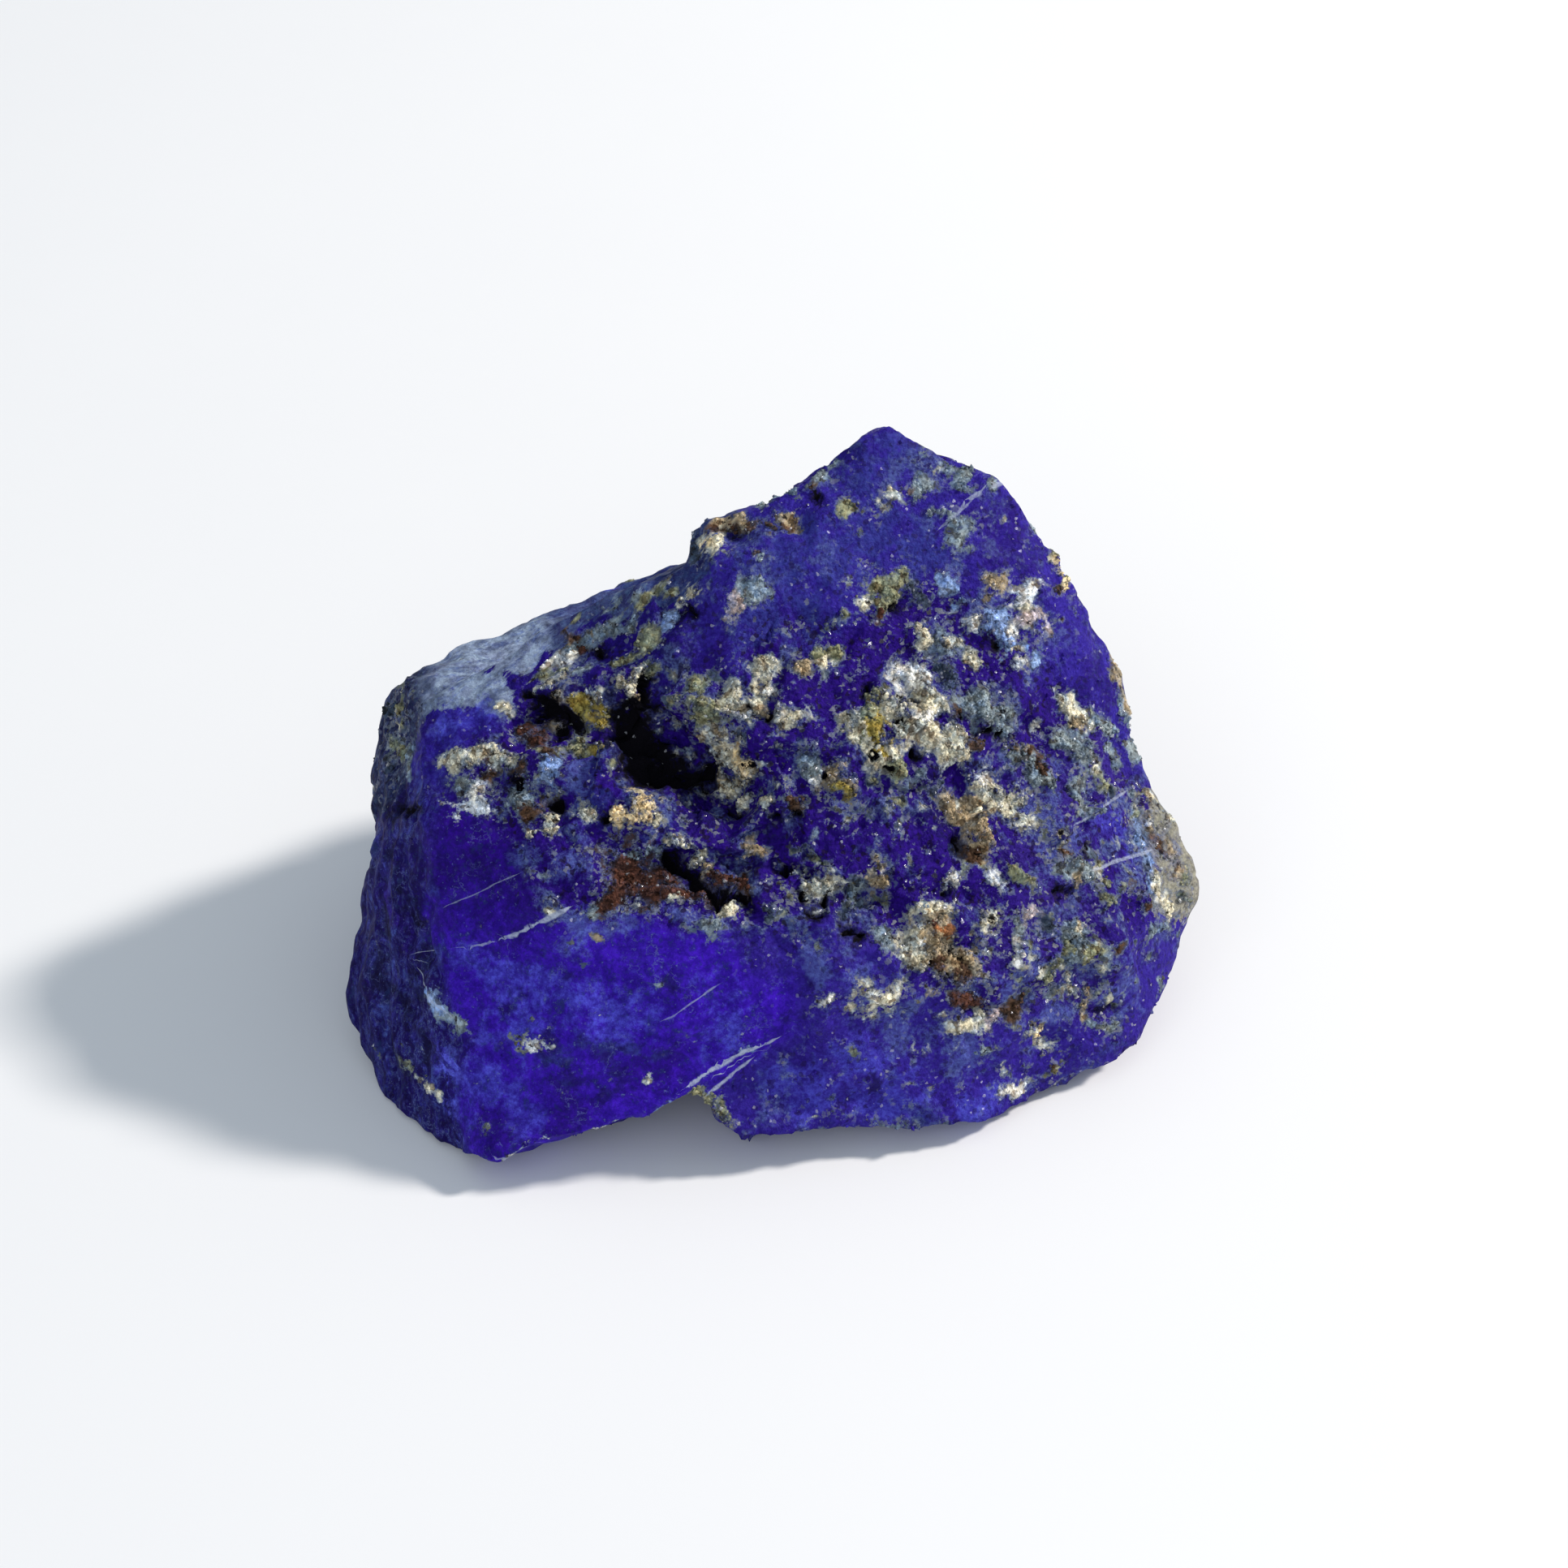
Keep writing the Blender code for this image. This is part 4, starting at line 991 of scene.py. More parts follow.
class Shading:
    """A new material and short ways to add nodes to it. Its places are millimetres of the
    object's own space. Every method returns the new node's output; a colour is such an output,
    or shares of red, green and blue."""

    def __init__(self, name):
        self.material = bpy.data.materials.new(name)
        self.material.use_nodes = True
        self.tree = self.material.node_tree
        self.surface = self.tree.nodes["Principled BSDF"].inputs
        own_space = self.node("TexCoord")["Object"]
        self.places = self.node("VectorMath", {0: own_space, 1: (1000, 1000, 1000)},
                                operation="MULTIPLY")[0]

    def link(self, value, socket):
        """Give a socket a value, or link it to an output."""
        if isinstance(value, bpy.types.NodeSocket):
            self.tree.links.new(value, socket)
        elif socket.type == "RGBA":
            socket.default_value = (*value, 1)
        else:
            socket.default_value = value

    def node(self, kind, inputs=None, **settings):
        """A node of a kind, with these inputs and settings: all of its outputs."""
        node = self.tree.nodes.new("ShaderNode" + kind)
        for name, value in settings.items():
            setattr(node, name, value)
        for key, value in (inputs or {}).items():
            self.link(value, node.inputs[key])
        return node.outputs

    def read(self, name, kind="Fac"):
        """What the mesh's points hold under a name: a number, or a "Color"."""
        return self.node("Attribute", attribute_name=name)[kind]

    def math(self, operation, *values):
        """Any sum of one or more numbers."""
        return self.node("Math", dict(enumerate(values)), operation=operation)[0]

    def times(self, one, other):
        """One number times another."""
        return self.math("MULTIPLY", one, other)

    def plus(self, value, other, times=1.0, less=0.0):
        """value + times * (other - less)"""
        return self.math("MULTIPLY_ADD", self.math("SUBTRACT", other, less), times, value)

    def frayed(self, value, noise, by):
        """A value that a noise of 0 to 1 raises and lowers by up to half of what is given."""
        return self.plus(value, noise, by, 0.5)

    def between(self, value, low, high, start=0.0, end=1.0):
        """Smooth step from start to end, as the value goes from low to high."""
        return self.node("MapRange", {0: value, 1: low, 2: high, 3: start, 4: end},
                         interpolation_type="SMOOTHSTEP")[0]

    def line(self, value, middle, width, strength):
        """A thin line where the value is at its middle: strong there, and gone at its width."""
        off = self.math("ABSOLUTE", self.plus(0.0, value, 1.0, middle))
        return self.between(off, 0.0, width, strength, 0.0)

    def mix(self, share, below, above, how="MIX"):
        """Two colours mixed by a share."""
        return self.node("Mix", {0: share, 6: below, 7: above}, data_type="RGBA",
                         blend_type=how)[2]

    def shaded(self, colour, by):
        """A colour times another."""
        return self.mix(1.0, colour, by, "MULTIPLY")

    def toned(self, share, colour, one, other):
        """A colour times one or another, as the share goes from 0 to 1."""
        return self.mix(share, self.shaded(colour, one), self.shaded(colour, other))

    def noise(self, size, detail=3.0, roughness=0.6, at=None):
        """Noise of 0 to 1 with its middle at 0.5, in lumps of the size and finer ones."""
        return self.node("TexNoise", {"Vector": at or self.places, "Scale": 1 / size,
                                      "Detail": detail, "Roughness": roughness})[0]

    def shifted(self, size, reach):
        """Places shifted to and fro by noise."""
        shift = self.node("TexNoise", {"Vector": self.places, "Scale": 1 / size, "Detail": 2.0})
        return self.node("VectorMath", {0: shift["Color"], 1: (2 * reach,) * 3, 2: self.places},
                         operation="MULTIPLY_ADD")[0]

    def pattern(self, noise, shown, shift=None):
        """A smooth step of a noise, whose places may be shifted by other noise."""
        at = self.shifted(*shift) if shift else self.places
        return self.between(self.noise(*noise, at=at), *shown)

    def crumbs(self, size, shift=None):
        """Cells of the size, at places that may be shifted by noise: three random numbers for
        each, and the distance to its middle."""
        at = self.shifted(*shift) if shift else self.places
        cell = self.node("TexVoronoi", {"Vector": at, "Scale": 1 / size})
        return *self.node("SeparateColor", {0: cell["Color"]}), cell["Distance"]

    def fibrous(self, line, size, detail, roughness, stretch, reach, shift_size=3.0):
        """Noise stretched along a line: its places are shifted to and fro by other noise, then
        drawn together along the line."""
        places, line = self.shifted(shift_size, reach), tuple(line)
        along = self.node("VectorMath", {0: places, 1: line}, operation="DOT_PRODUCT")[1]
        back = self.times(along, 1 / stretch - 1)
        back = self.node("VectorMath", {0: line, "Scale": back}, operation="SCALE")[0]
        drawn = self.node("VectorMath", {0: places, 1: back}, operation="ADD")[0]
        return self.noise(size, detail, roughness, drawn)


# Fibres: lump size in mm, detail and roughness of the noise of strands and of finer wisps, how
# far it is stretched, and by how many mm it is shifted before
SIDE_NOISES = [(0.9, 7.0, 0.70, 4.0, 2.0), (0.36, 5.0, 0.72, 2.5, 0.6)]
SHELF_NOISES = [(1.0, 6.0, 0.64, 7.0, 0.8), (0.42, 5.0, 0.72, 3.5, 0.4)]
# Their dark and light bands: the steps of the noise between which a band shows, how strongly at
# either end, and its colour down the left side, or what it multiplies along the shelf
SIDE_STRANDS = [((0.44, 0.52, 0.85, 0.0), (0.007, 0.001, 0.075)),
                ((0.54, 0.62, 0.0, 0.75), (0.050, 0.052, 0.32))]
SIDE_WISPS = [((0.52, 0.60, 0.0, 0.55), (0.008, 0.003, 0.050)),
              ((0.40, 0.47, 0.42, 0.0), (0.060, 0.070, 0.26))]
SHELF_STRANDS = [((0.36, 0.50, 0.75, 0.0), (0.34, 0.36, 0.52)),
                 ((0.52, 0.66, 0.0, 0.8), (1.45, 1.42, 1.32))]
SHELF_WISPS = [((0.52, 0.60, 0.0, 0.6), (0.40, 0.48, 0.80))]
CREASE_LINE, CREASE = (0.53, 0.024, 0.45), (0.085, 0.11, 0.24)
CLOUD_ON_FIBRES = 0.75
CLOUD_STRANDS, CLOUD_STRAND_STEP = ((0.45, 0.35, 0.6), (1.5, 1.55, 1.35)), (0.44, 0.56)


def blue_fibres(s, blue, cloud):
    """Dark and light strands and finer wisps over the blue: down the left side, where a cloud
    tints them, and along the shelf."""
    hanging, sloping = s.read("hanging"), s.read("sloping")
    strand, wisp = (s.fibrous(SIDE_FIBRES, *noise) for noise in SIDE_NOISES)
    for noise, bands in ((strand, SIDE_STRANDS), (wisp, SIDE_WISPS)):
        for shown, colour in bands:
            blue = s.mix(s.times(hanging, s.between(noise, *shown)), blue, colour)
    blue = s.mix(s.times(hanging, s.line(strand, *CREASE_LINE)), blue, CREASE)
    tinted = s.toned(s.between(strand, *CLOUD_STRAND_STEP), s.read("cloud", "Color"),
                     *CLOUD_STRANDS)
    blue = s.mix(s.times(s.times(hanging, cloud), CLOUD_ON_FIBRES), blue, tinted)
    strand, wisp = (s.fibrous(SHELF_FIBRES, *noise) for noise in SHELF_NOISES)
    for noise, bands in ((strand, SHELF_STRANDS), (wisp, SHELF_WISPS)):
        for shown, shade in bands:
            shown = s.times(sloping, s.between(noise, *shown))
            blue = s.mix(shown, blue, s.shaded(blue, shade))
    return blue


# Patterns of gentle skin: lump size in mm, detail and roughness of a noise, then the steps of it
# between which the pattern shows, and how strongly at either end
CLOUDY, MOTTLED = ((0.8, 9.0, 0.78), (0.38, 0.62)), ((0.34, 5.0, 0.72), (0.38, 0.62))
MURKY = [((1.2, 8.0, 0.76), (0.55, 0.66, 0.0, 0.75)), ((0.42, 6.0, 0.76), (0.56, 0.64, 0.0, 0.55))]
FLECKED = (0.30, 4.0, 0.7), (0.62, 0.70, 0.0, 0.6)
HAIR_NOISE, HAIR_LINE = (1.8, 6.0, 0.62), (0.5, 0.012, 0.6)
HAIR_BROKEN = (2.6, 3.0), (0.50, 0.62)
DARK_MOTTLES, LIGHT_MOTTLES = 0.75, 0.90          # how strong they are
BLUE_LUMPS = 0.9, (0.8, 0.35)                     # size, and size and reach of their shift, in mm
# Colours in it, and what the lumps and the murk on pale rock multiply its colour by
BLUE_LUMP_TONES = ((0.84, 0.81, 0.88), (1.18, 1.20, 1.12))
HAIR, FLECK = (0.12, 0.15, 0.36), (0.12, 0.15, 0.42)
MURK, MURK_ON_PALE = (0.010, 0.022, 0.100), (0.52, 0.62, 0.92)


def gentle_blue(s, blue, pale_rock, darker, lighter):
    """Blue skin that isn't grainy: cloudy, in lumps, with hair-thin pale veins, dark mottles and
    pale flecks."""
    blue = s.toned(s.pattern(*CLOUDY), blue, darker, lighter)
    blue = s.mix(s.pattern(*MOTTLED), s.mix(DARK_MOTTLES, blue, s.shaded(blue, darker)),
                 s.mix(LIGHT_MOTTLES, blue, s.shaded(blue, lighter)))
    blue = s.toned(s.crumbs(*BLUE_LUMPS)[0], blue, *BLUE_LUMP_TONES)
    hair = s.times(s.line(s.noise(*HAIR_NOISE), *HAIR_LINE), s.pattern(*HAIR_BROKEN))
    blue = s.mix(hair, blue, HAIR)
    murk = s.math("MAXIMUM", *(s.pattern(*pattern) for pattern in MURKY))
    blue = s.mix(murk, blue, s.mix(pale_rock, MURK, s.shaded(blue, MURK_ON_PALE)))
    return s.mix(s.pattern(*FLECKED), blue, FLECK)


# Grainy skin: its milky domains and what shifts their edges, its crumbs of half and half, and
# its single crumbs. A step gives where it begins and ends, and how strong it is at either end.
DOMAIN_NOISE, DOMAIN_STEP = (2.6, 7.0, 0.70), (0.53, 0.66, 0.0, 0.80)
DOMAIN_NEAR_MINERAL, DOMAIN_FRAY = 0.10, 0.25
CRUMBY_STEP = (0.38, 0.62)
MILK = ((0.030, 0.034, 0.14), (0.105, 0.150, 0.34))
SINGLE_CRUMBS = 0.27, (0.30, 0.18)
CALCITE_STEP, MICA_STEP = (0.90, 1.04, 0.0, 0.75), (0.88, 0.94, 0.0, 0.75)
CALCITE_NEAR_MINERAL, CALCITE_FRAY = 0.20, 0.6
CALCITE_ON_PEPPERED, PEPPERED_FROM = 0.16, 0.4
CALCITE_CRUMBS = ((0.07, 0.09, 0.20), (0.26, 0.27, 0.28))
MICA = (0.008, 0.003, 0.020)


def grainy_blue(s, blue, fine, middle, halo, darker, lighter):
    """Grainy blue skin: domains of pure and of milky blue, each broken up by fine crumbs, with
    single crumbs of calcite and of dark mica, more of them near minerals."""
    domain = s.frayed(s.plus(s.noise(*DOMAIN_NOISE), halo, DOMAIN_NEAR_MINERAL), middle,
                      DOMAIN_FRAY)
    crumby = s.between(fine, *CRUMBY_STEP)
    blue = s.mix(s.between(domain, *DOMAIN_STEP),
                 s.toned(crumby, blue, darker, lighter), s.mix(crumby, *MILK))
    calcite, mica, tone, _ = s.crumbs(*SINGLE_CRUMBS)
    calcite = s.frayed(s.plus(calcite, halo, CALCITE_NEAR_MINERAL), middle, CALCITE_FRAY)
    calcite = s.plus(calcite, s.read("pepper"), CALCITE_ON_PEPPERED, PEPPERED_FROM)
    blue = s.mix(s.between(calcite, *CALCITE_STEP), blue, s.mix(tone, *CALCITE_CRUMBS))
    return s.mix(s.between(mica, *MICA_STEP), blue, MICA)


# Edges of pale skin and of clouds: how far noise frays them, and the step over which they end
PALE_FRAY, PALE_STEP = 4.5, (-0.12, 0.12)
CLOUD_NOISE, CLOUD_FRAY, CLOUD_STEP = (1.3, 8.0, 0.74), 5.5, (-0.35, 0.60)
CLOUD_STRENGTH = 0.62
GREEN_OF_PALE_ROCK = (0.03, 0.14)    # by which pale rock is told from deep blue
# What dark and light crumbs multiply deep blue by, which turns violet and clear, and pale rock,
# which keeps its hue
DARKER = ((0.56, 0.34, 0.68), (0.62, 0.62, 0.64))
LIGHTER = ((1.26, 1.46, 1.20), (1.30, 1.29, 1.26))


def blue_rock(s, fine, middle, ragged, halo, grain):
    """Lazurite, and the pale kinds of skin with a ragged edge: clouds of other blues, fibres on
    the left side and the shelf, and over them what mottles gentle and grainy skin."""
    inside = s.frayed(s.read("inside_pale"), ragged, PALE_FRAY)
    blue = s.mix(s.between(inside, *PALE_STEP), s.read("blue", "Color"), s.read("pale", "Color"))
    cloud = s.frayed(s.read("cloud_share"), s.noise(*CLOUD_NOISE), CLOUD_FRAY)
    cloud = s.between(cloud, *CLOUD_STEP)
    blue = s.mix(s.times(cloud, CLOUD_STRENGTH), blue, s.read("cloud", "Color"))
    blue = blue_fibres(s, blue, cloud)
    pale_rock = s.between(s.node("SeparateColor", {0: blue})[1], *GREEN_OF_PALE_ROCK)
    darker, lighter = s.mix(pale_rock, *DARKER), s.mix(pale_rock, *LIGHTER)
    return s.mix(grain, gentle_blue(s, blue, pale_rock, darker, lighter),
                 grainy_blue(s, blue, fine, middle, halo, darker, lighter))


# Patterns in the minerals, and what they multiply the colour by. A patch's edge also takes on a
# colour of its own.
DRIFTING, DRIFT = ((0.9, 5.0), (0.36, 0.60)), ((0.62, 0.72, 0.90), (1.15, 1.12, 1.06))
STAINED, STAIN = ((0.7, 5.0, 0.6), (0.54, 0.64, 0.0, 0.55), (2.0, 1.5)), (0.68, 0.60, 0.48)
EDGE_SHADE, EDGE_COLOUR, EDGE_STRENGTH = (0.55, 0.60, 0.70), (0.085, 0.11, 0.21), 0.45
MINERAL_CRUMBS, CRUMB_TONES = (0.40, (0.35, 0.16)), ((0.72, 0.70, 0.67), (1.32, 1.32, 1.30))
BROWN_STEP, BROWN_CRUMB = (0.87, 0.91, 0.0, 0.7), (0.24, 0.15, 0.09)
WHITE_STEP, WHITE_CRUMB = (0.86, 0.90, 0.0, 0.45), (1.6, 1.65, 1.8)
SEAM_FRAY, SEAM_STEP, SEAM = 0.6, (0.50, 0.74, 0.0, 0.55), (0.28, 0.23, 0.19)
FINE_STEP, FINE_TONES = (0.30, 0.65), ((0.78, 0.77, 0.76), (1.30, 1.30, 1.28))


def mineral_rock(s, fine, core):
    """Calcite and the others, bluish towards a patch's edge: crumbs a third of a millimetre wide,
    each paler or darker than the next, with brown and with white ones, and dark seams."""
    mineral = s.read("mineral", "Color")
    drift = s.toned(s.pattern(*DRIFTING), mineral, *DRIFT)
    drift = s.mix(s.pattern(*STAINED), drift, s.shaded(mineral, STAIN))
    drift = s.mix(core, s.mix(EDGE_STRENGTH, s.shaded(drift, EDGE_SHADE), EDGE_COLOUR), drift)
    tone, brown, white, from_middle = s.crumbs(*MINERAL_CRUMBS)
    crumb = s.toned(tone, drift, *CRUMB_TONES)
    crumb = s.mix(s.between(brown, *BROWN_STEP), crumb, s.shaded(drift, BROWN_CRUMB))
    crumb = s.mix(s.between(white, *WHITE_STEP), crumb, s.shaded(drift, WHITE_CRUMB))
    seam = s.between(s.frayed(from_middle, fine, SEAM_FRAY), *SEAM_STEP)
    crumb = s.mix(seam, crumb, s.shaded(crumb, SEAM))
    return s.toned(s.between(fine, *FINE_STEP), crumb, *FINE_TONES)


# The skin as a whole. Noises: lump size in mm, detail and roughness.
FINE_NOISE, MIDDLE_NOISE = (0.26, 4.0, 0.68), (0.9, 4.0)
PATCH_NOISE, PATCH_NOISE_ON_SHELF = (1.4, 7.0, 0.68), (1.0, 6.0, 0.66, 5.0, 0.5)
PATCH_FRAY = 4.8
GRAIN_STEP = (0.0, 0.8)
# Steps across a patch's edge: the mineral itself, what is around it, its core and its dark specks,
# which are partly dark grains and partly painted shade in the gaps around the patch
MINERAL_STEP, HALO_STEP, CORE_STEP = (-0.14, 0.08), (-0.9, 0.0), (0.0, 0.55)
SPECKLED, SPECK_STEP, DARK_SPECK_AND_SHADE = (
    ((0.55, 4.0, 0.66), (0.60, 0.67, 0.0, 0.9)), (-0.7, 0.1), (0.008, 0.004, 0.006))
# Calcite dust near the minerals
DUST_NEAR_MINERAL, DUST_STEP, DUST = 0.24, (0.68, 0.84, 0.0, 0.75), (0.17, 0.20, 0.27)
# Pits painted near black, partly a dark lining and partly painted shade in the holes, and the
# painted shade that darkens the rock around them
PIT_NOISE, PIT_FRAY = (0.7, 7.0, 0.72), 3.4
PIT_STEP, PIT_LINING_AND_SHADE = (-0.10, 0.24), (0.0035, 0.0028, 0.0055)
PAINTED_SHADE_AROUND_PIT_STEP, PAINTED_SHADE_AROUND_PIT = (-0.9, 0.1, 0.0, 0.9), (0.12, 0.07, 0.16)
# Veins: how noise narrows them, how soft their sides are, and how it fades them
VEIN_NARROWED, VEIN_FADED = (0.25, 0.62, 0.1, 1.3), (0.25, 0.6, 0.35, 1.0)
VEIN_SIDE, THINNEST_VEIN = (0.4, 1.2, 1.0, 0.0), 0.001
VEIN = (0.42, 0.47, 0.60)
# Crystal faces that flash, and the shine of the rest. Sizes are in mm, the bumps' height in m.
FLASH_SIZE, FLASH_STEP, FLASH = 0.17, (0.991, 0.994), (0.7, 0.7, 0.75)
FLASH_COLOURED, FLASH_METALLIC, FLASH_SMOOTHER = 0.5, 0.8, -0.35
ROUGHNESS_OF_ROCK, ROUGHNESS_FRAY, PIT_ROUGHER = 0.55, 0.3, 0.4
GLOSS = 0.08
BUMP_SIZE, BUMP_CRUMBS, BUMP_STRENGTHS, BUMP_HEIGHT = 0.34, -0.6, (0.15, 1.0), 0.00018


def stone_material():
    """Lapis: the blue rock, minerals over it with ragged granular edges, veins, dark specks that
    are partly painted shade, black pits with painted shade in and around them, and small crystal
    faces that flash."""
    s = Shading("lapis_skin")
    fine, middle = s.noise(*FINE_NOISE), s.noise(*MIDDLE_NOISE)
    grain = s.between(s.read("grain"), *GRAIN_STEP)

    # a patch's edge is broken up by noise, which the shelf draws out into streaks
    ragged = s.mix(s.read("sloping"), s.noise(*PATCH_NOISE),
                   s.fibrous(SHELF_FIBRES, *PATCH_NOISE_ON_SHELF))
    edge = s.frayed(s.read("share"), ragged, PATCH_FRAY)
    halo = s.between(edge, *HALO_STEP)
    colour = blue_rock(s, fine, middle, ragged, halo, grain)
    dust = s.between(s.plus(fine, halo, DUST_NEAR_MINERAL), *DUST_STEP)
    colour = s.mix(s.times(dust, grain), colour, DUST)
    pit = s.frayed(s.read("pit"), s.noise(*PIT_NOISE), PIT_FRAY)
    # painted shade: the rock around the pits is darkened
    colour = s.mix(s.between(pit, *PAINTED_SHADE_AROUND_PIT_STEP), colour, s.shaded(colour, PAINTED_SHADE_AROUND_PIT))
    colour = s.mix(s.between(edge, *MINERAL_STEP), colour,
                   mineral_rock(s, fine, s.between(edge, *CORE_STEP)))
    colour = s.shaded(colour, s.read("tint"))

    # dark specks, partly dark grains and partly painted shade in the gaps around the mineral
    # patches, then veins, then pits painted near black, partly painted shade
    speck_and_shade = s.times(s.pattern(*SPECKLED), s.between(edge, *SPECK_STEP))
    colour = s.mix(speck_and_shade, colour, DARK_SPECK_AND_SHADE)
    width = s.times(s.read("vein_width"), s.between(middle, *VEIN_NARROWED))
    vein = s.math("DIVIDE", s.math("ABSOLUTE", s.read("vein")),
                  s.math("MAXIMUM", width, THINNEST_VEIN))
    vein = s.times(s.between(vein, *VEIN_SIDE), s.between(fine, *VEIN_FADED))
    colour = s.mix(s.times(vein, s.read("vein_pale")), colour, VEIN)
    # the pits painted near black: partly a dark lining, partly painted shade in the holes
    pit = s.between(pit, *PIT_STEP)
    colour = s.mix(pit, colour, PIT_LINING_AND_SHADE)

    # small crystal faces that catch the light
    flash = s.times(s.between(s.crumbs(FLASH_SIZE)[2], *FLASH_STEP), grain)
    flash = s.math("MAXIMUM", flash, s.read("flash"))
    rough = s.plus(s.frayed(ROUGHNESS_OF_ROCK, fine, ROUGHNESS_FRAY), flash, FLASH_SMOOTHER)
    bumps = {"Height": s.plus(fine, s.crumbs(BUMP_SIZE)[3], BUMP_CRUMBS), "Distance": BUMP_HEIGHT,
             "Strength": s.between(grain, 0.0, 1.0, *BUMP_STRENGTHS)}
    for name, value in {
            "Base Color": s.mix(s.times(flash, FLASH_COLOURED), colour, FLASH),
            "Metallic": s.times(flash, FLASH_METALLIC),
            "Roughness": s.plus(rough, pit, PIT_ROUGHER),
            "Specular IOR Level": GLOSS,
            "Normal": s.node("Bump", bumps)[0]}.items():
        s.link(value, s.surface[name])
    return s.material


skin_looks = {
    "blue": blue_colour, "pale": pale_colour, "inside_pale": inside_pale, "grain": grainy,
    "pepper": freckled, "hanging": hanging, "sloping": sloping,
    "cloud": cloud_colour, "cloud_share": cloud_share,
    "mineral": mineral_colour, "share": mineral_share, "pit": pit_share,
    "vein": vein_distance, "vein_width": vein_width, "vein_pale": vein_pale,
}
stone_mesh = polygon_mesh("lapis_skin", points, quads)
stone_mesh.shade_smooth()
write_values(stone_mesh, skin_looks)
write_values(stone_mesh, {"tint": np.ones(len(points)), "flash": np.zeros(len(points))})
stone_mesh.materials.append(stone_material())
stone = placed("lapis_stone_skin", stone_mesh)
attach(stone, "root")
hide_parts("lapis_stone")

# ---------------------------------------------------------------------------------------------
# The crystals: small slanting blocks, as calcite and lazurite break into, whose corners
# stand out of the skin where it is grainy. Each has the colours of the skin that it grows from.

CRYSTAL_COUNT = 15000
CRYSTAL_HALF_WIDTHS = (0.05, 0.12)      # mm
CRYSTAL_SLANT = 0.28
CRYSTAL_SUNK = 0.80                     # of its half width, from the skin to its middle
CRYSTAL_ASIDE = 0.12                    # mm, how far off a point of the skin's grid it stands
LOWEST_CRYSTAL = 0.5                    # mm above the ground
ON_MINERAL = 1.0                        # how densely they stand
ON_BLUE = 0.01
CRYSTAL_TINTS = (0.70, 1.35)
SHARE_THAT_FLASHES = 0.02


def crystal_blocks(random, middles, half_widths):
    """Eight corners and six faces for each crystal: a cube turned at random, then slanted and
    drawn out by a random matrix that differs a little from no change."""
    cube = np.array([[x, y, z] for z in (-1, 1) for x, y in ((-1, -1), (1, -1), (1, 1), (-1, 1))])
    sides = np.array([[0, 3, 2, 1], [4, 5, 6, 7], [0, 1, 5, 4], [1, 2, 6, 5], [2, 3, 7, 6],
                      [3, 0, 4, 7]])
    turns, _ = np.linalg.qr(random.normal(size=(len(middles), 3, 3)))
    turns *= np.sign(np.linalg.det(turns))[:, None, None]
    slants = np.eye(3) + random.uniform(-CRYSTAL_SLANT, CRYSTAL_SLANT, (len(middles), 3, 3))
    corners = np.einsum("cj,njk,nkl->ncl", cube, slants, turns) * half_widths[:, None, None]
    faces = sides + 8 * np.arange(len(middles))[:, None, None]
    return (corners + middles[:, None]).reshape(-1, 3), faces.reshape(-1, 4)


random = np.random.default_rng(300)
normals = outward(points, quads)
areas = np.linalg.norm(normals, axis=1)
normals = unit(normals)
density = (ON_MINERAL * smooth_step(mineral_share, -0.1, 0.35) + ON_BLUE) * grainy
density *= areas * (1 - smooth_step(pit_share, -0.3, 0.2))
density *= points[:, 2] > LOWEST_CRYSTAL
chosen = random.choice(len(points), CRYSTAL_COUNT, p=density / density.sum())
half_widths = random.uniform(*CRYSTAL_HALF_WIDTHS, CRYSTAL_COUNT)
aside = random.normal(size=(CRYSTAL_COUNT, 3)) * CRYSTAL_ASIDE
aside -= np.sum(aside * normals[chosen], axis=1)[:, None] * normals[chosen]
middles = points[chosen] + aside - normals[chosen] * (CRYSTAL_SUNK * half_widths)[:, None]
corners, faces = crystal_blocks(random, middles, half_widths)
crystal_mesh = polygon_mesh("crystals", corners, faces)
write_values(crystal_mesh, {name: np.repeat(value[chosen], 8, axis=0)
                            for name, value in skin_looks.items()})
tints = random.uniform(*CRYSTAL_TINTS, CRYSTAL_COUNT)
flashes = (random.random(CRYSTAL_COUNT) < SHARE_THAT_FLASHES).astype(float)
write_values(crystal_mesh, {"tint": np.repeat(tints, 8), "flash": np.repeat(flashes, 8)})
crystal_mesh.materials.append(stone_mesh.materials[0])
crystals = placed("crystals", crystal_mesh)
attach(crystals, "root")
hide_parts("lapis_stone")

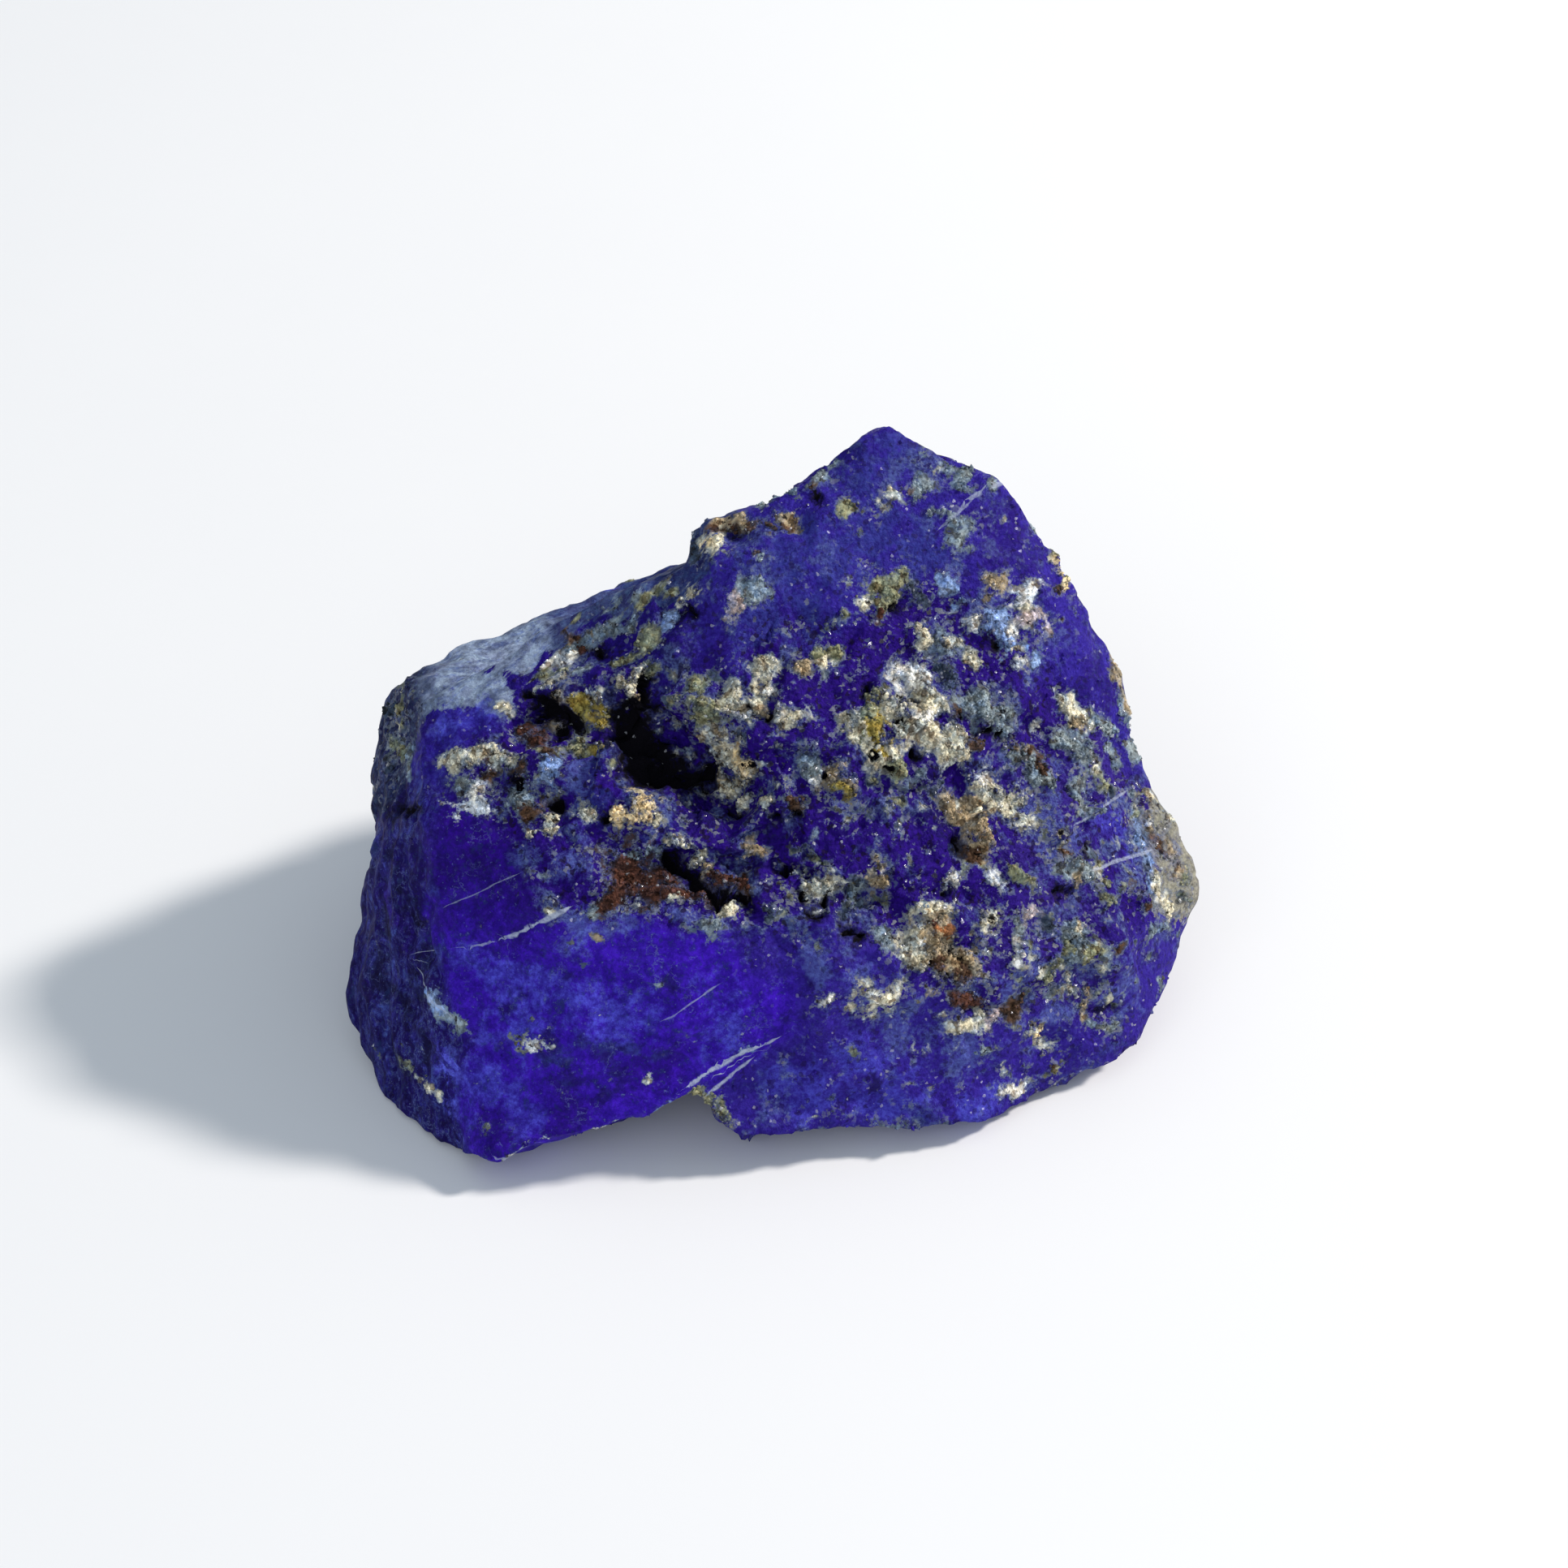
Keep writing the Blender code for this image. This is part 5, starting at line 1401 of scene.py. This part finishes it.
# ---------------------------------------------------------------------------------------------
# The floor: one wide board of matte white card, cut flat and laid under the stone. Its coating
# is even, with a faint slow mottle, and runs past the edges of the view.

FLOOR_HALF = 1500.0    # mm


def floor_material():
    """Matte white, mottled by slow noise."""
    s = Shading("white_board")
    s.link(s.mix(s.noise(80.0, 2.0), (0.80, 0.81, 0.83), (0.84, 0.85, 0.86)),
           s.surface["Base Color"])
    s.link(s.between(s.noise(3.0), 0.3, 0.7, 0.86, 0.94), s.surface["Roughness"])
    return s.material


floor_corners = np.array([(-1, -1, 0), (1, -1, 0), (1, 1, 0), (-1, 1, 0)]) * FLOOR_HALF
floor_mesh = polygon_mesh("floor", floor_corners, np.array([[0, 1, 2, 3]]))
floor_mesh.materials.append(floor_material())
floor = placed("floor", floor_mesh)

# ---------------------------------------------------------------------------------------------
# The light: a small warm lamp high on the right, which makes the shadows, a wide weak one in
# front, and a pale sky around them. Distances and sizes are in metres, powers in watts.

KEY = {"from": (0.754, 0.18, 0.60), "distance": 0.9, "size": 0.10, "power": 9.0,
       "colour": (1.0, 0.93, 0.86)}
FILL = {"from": (-0.30, -0.85, 0.55), "distance": 0.9, "size": 0.8, "power": 1.8,
        "colour": (0.92, 0.95, 1.0)}
LIT_MIDDLE = np.array([0, 0, 0.015])
SKY = (0.80, 0.90, 1.0)
SKY_STRENGTH = 0.50


def lamp(name, settings):
    """A square area light on a line from the stone's middle, turned towards it."""
    light = bpy.data.lights.new(name, "AREA")
    light.size = settings["size"]
    light.energy = settings["power"]
    light.color = settings["colour"]
    side = unit(np.array(settings["from"]))
    lamp_object = placed(name, light)
    lamp_object.location = LIT_MIDDLE + settings["distance"] * side
    lamp_object.rotation_euler = (math.acos(side[2]), 0, math.atan2(side[0], -side[1]))


lamp("key_light", KEY)
lamp("fill_light", FILL)
world = bpy.data.worlds.new("pale_sky")
world.use_nodes = True
world.node_tree.nodes["Background"].inputs["Color"].default_value = (*SKY, 1)
world.node_tree.nodes["Background"].inputs["Strength"].default_value = SKY_STRENGTH
bpy.context.scene.world = world
bpy.context.scene.view_settings.view_transform = "Standard"
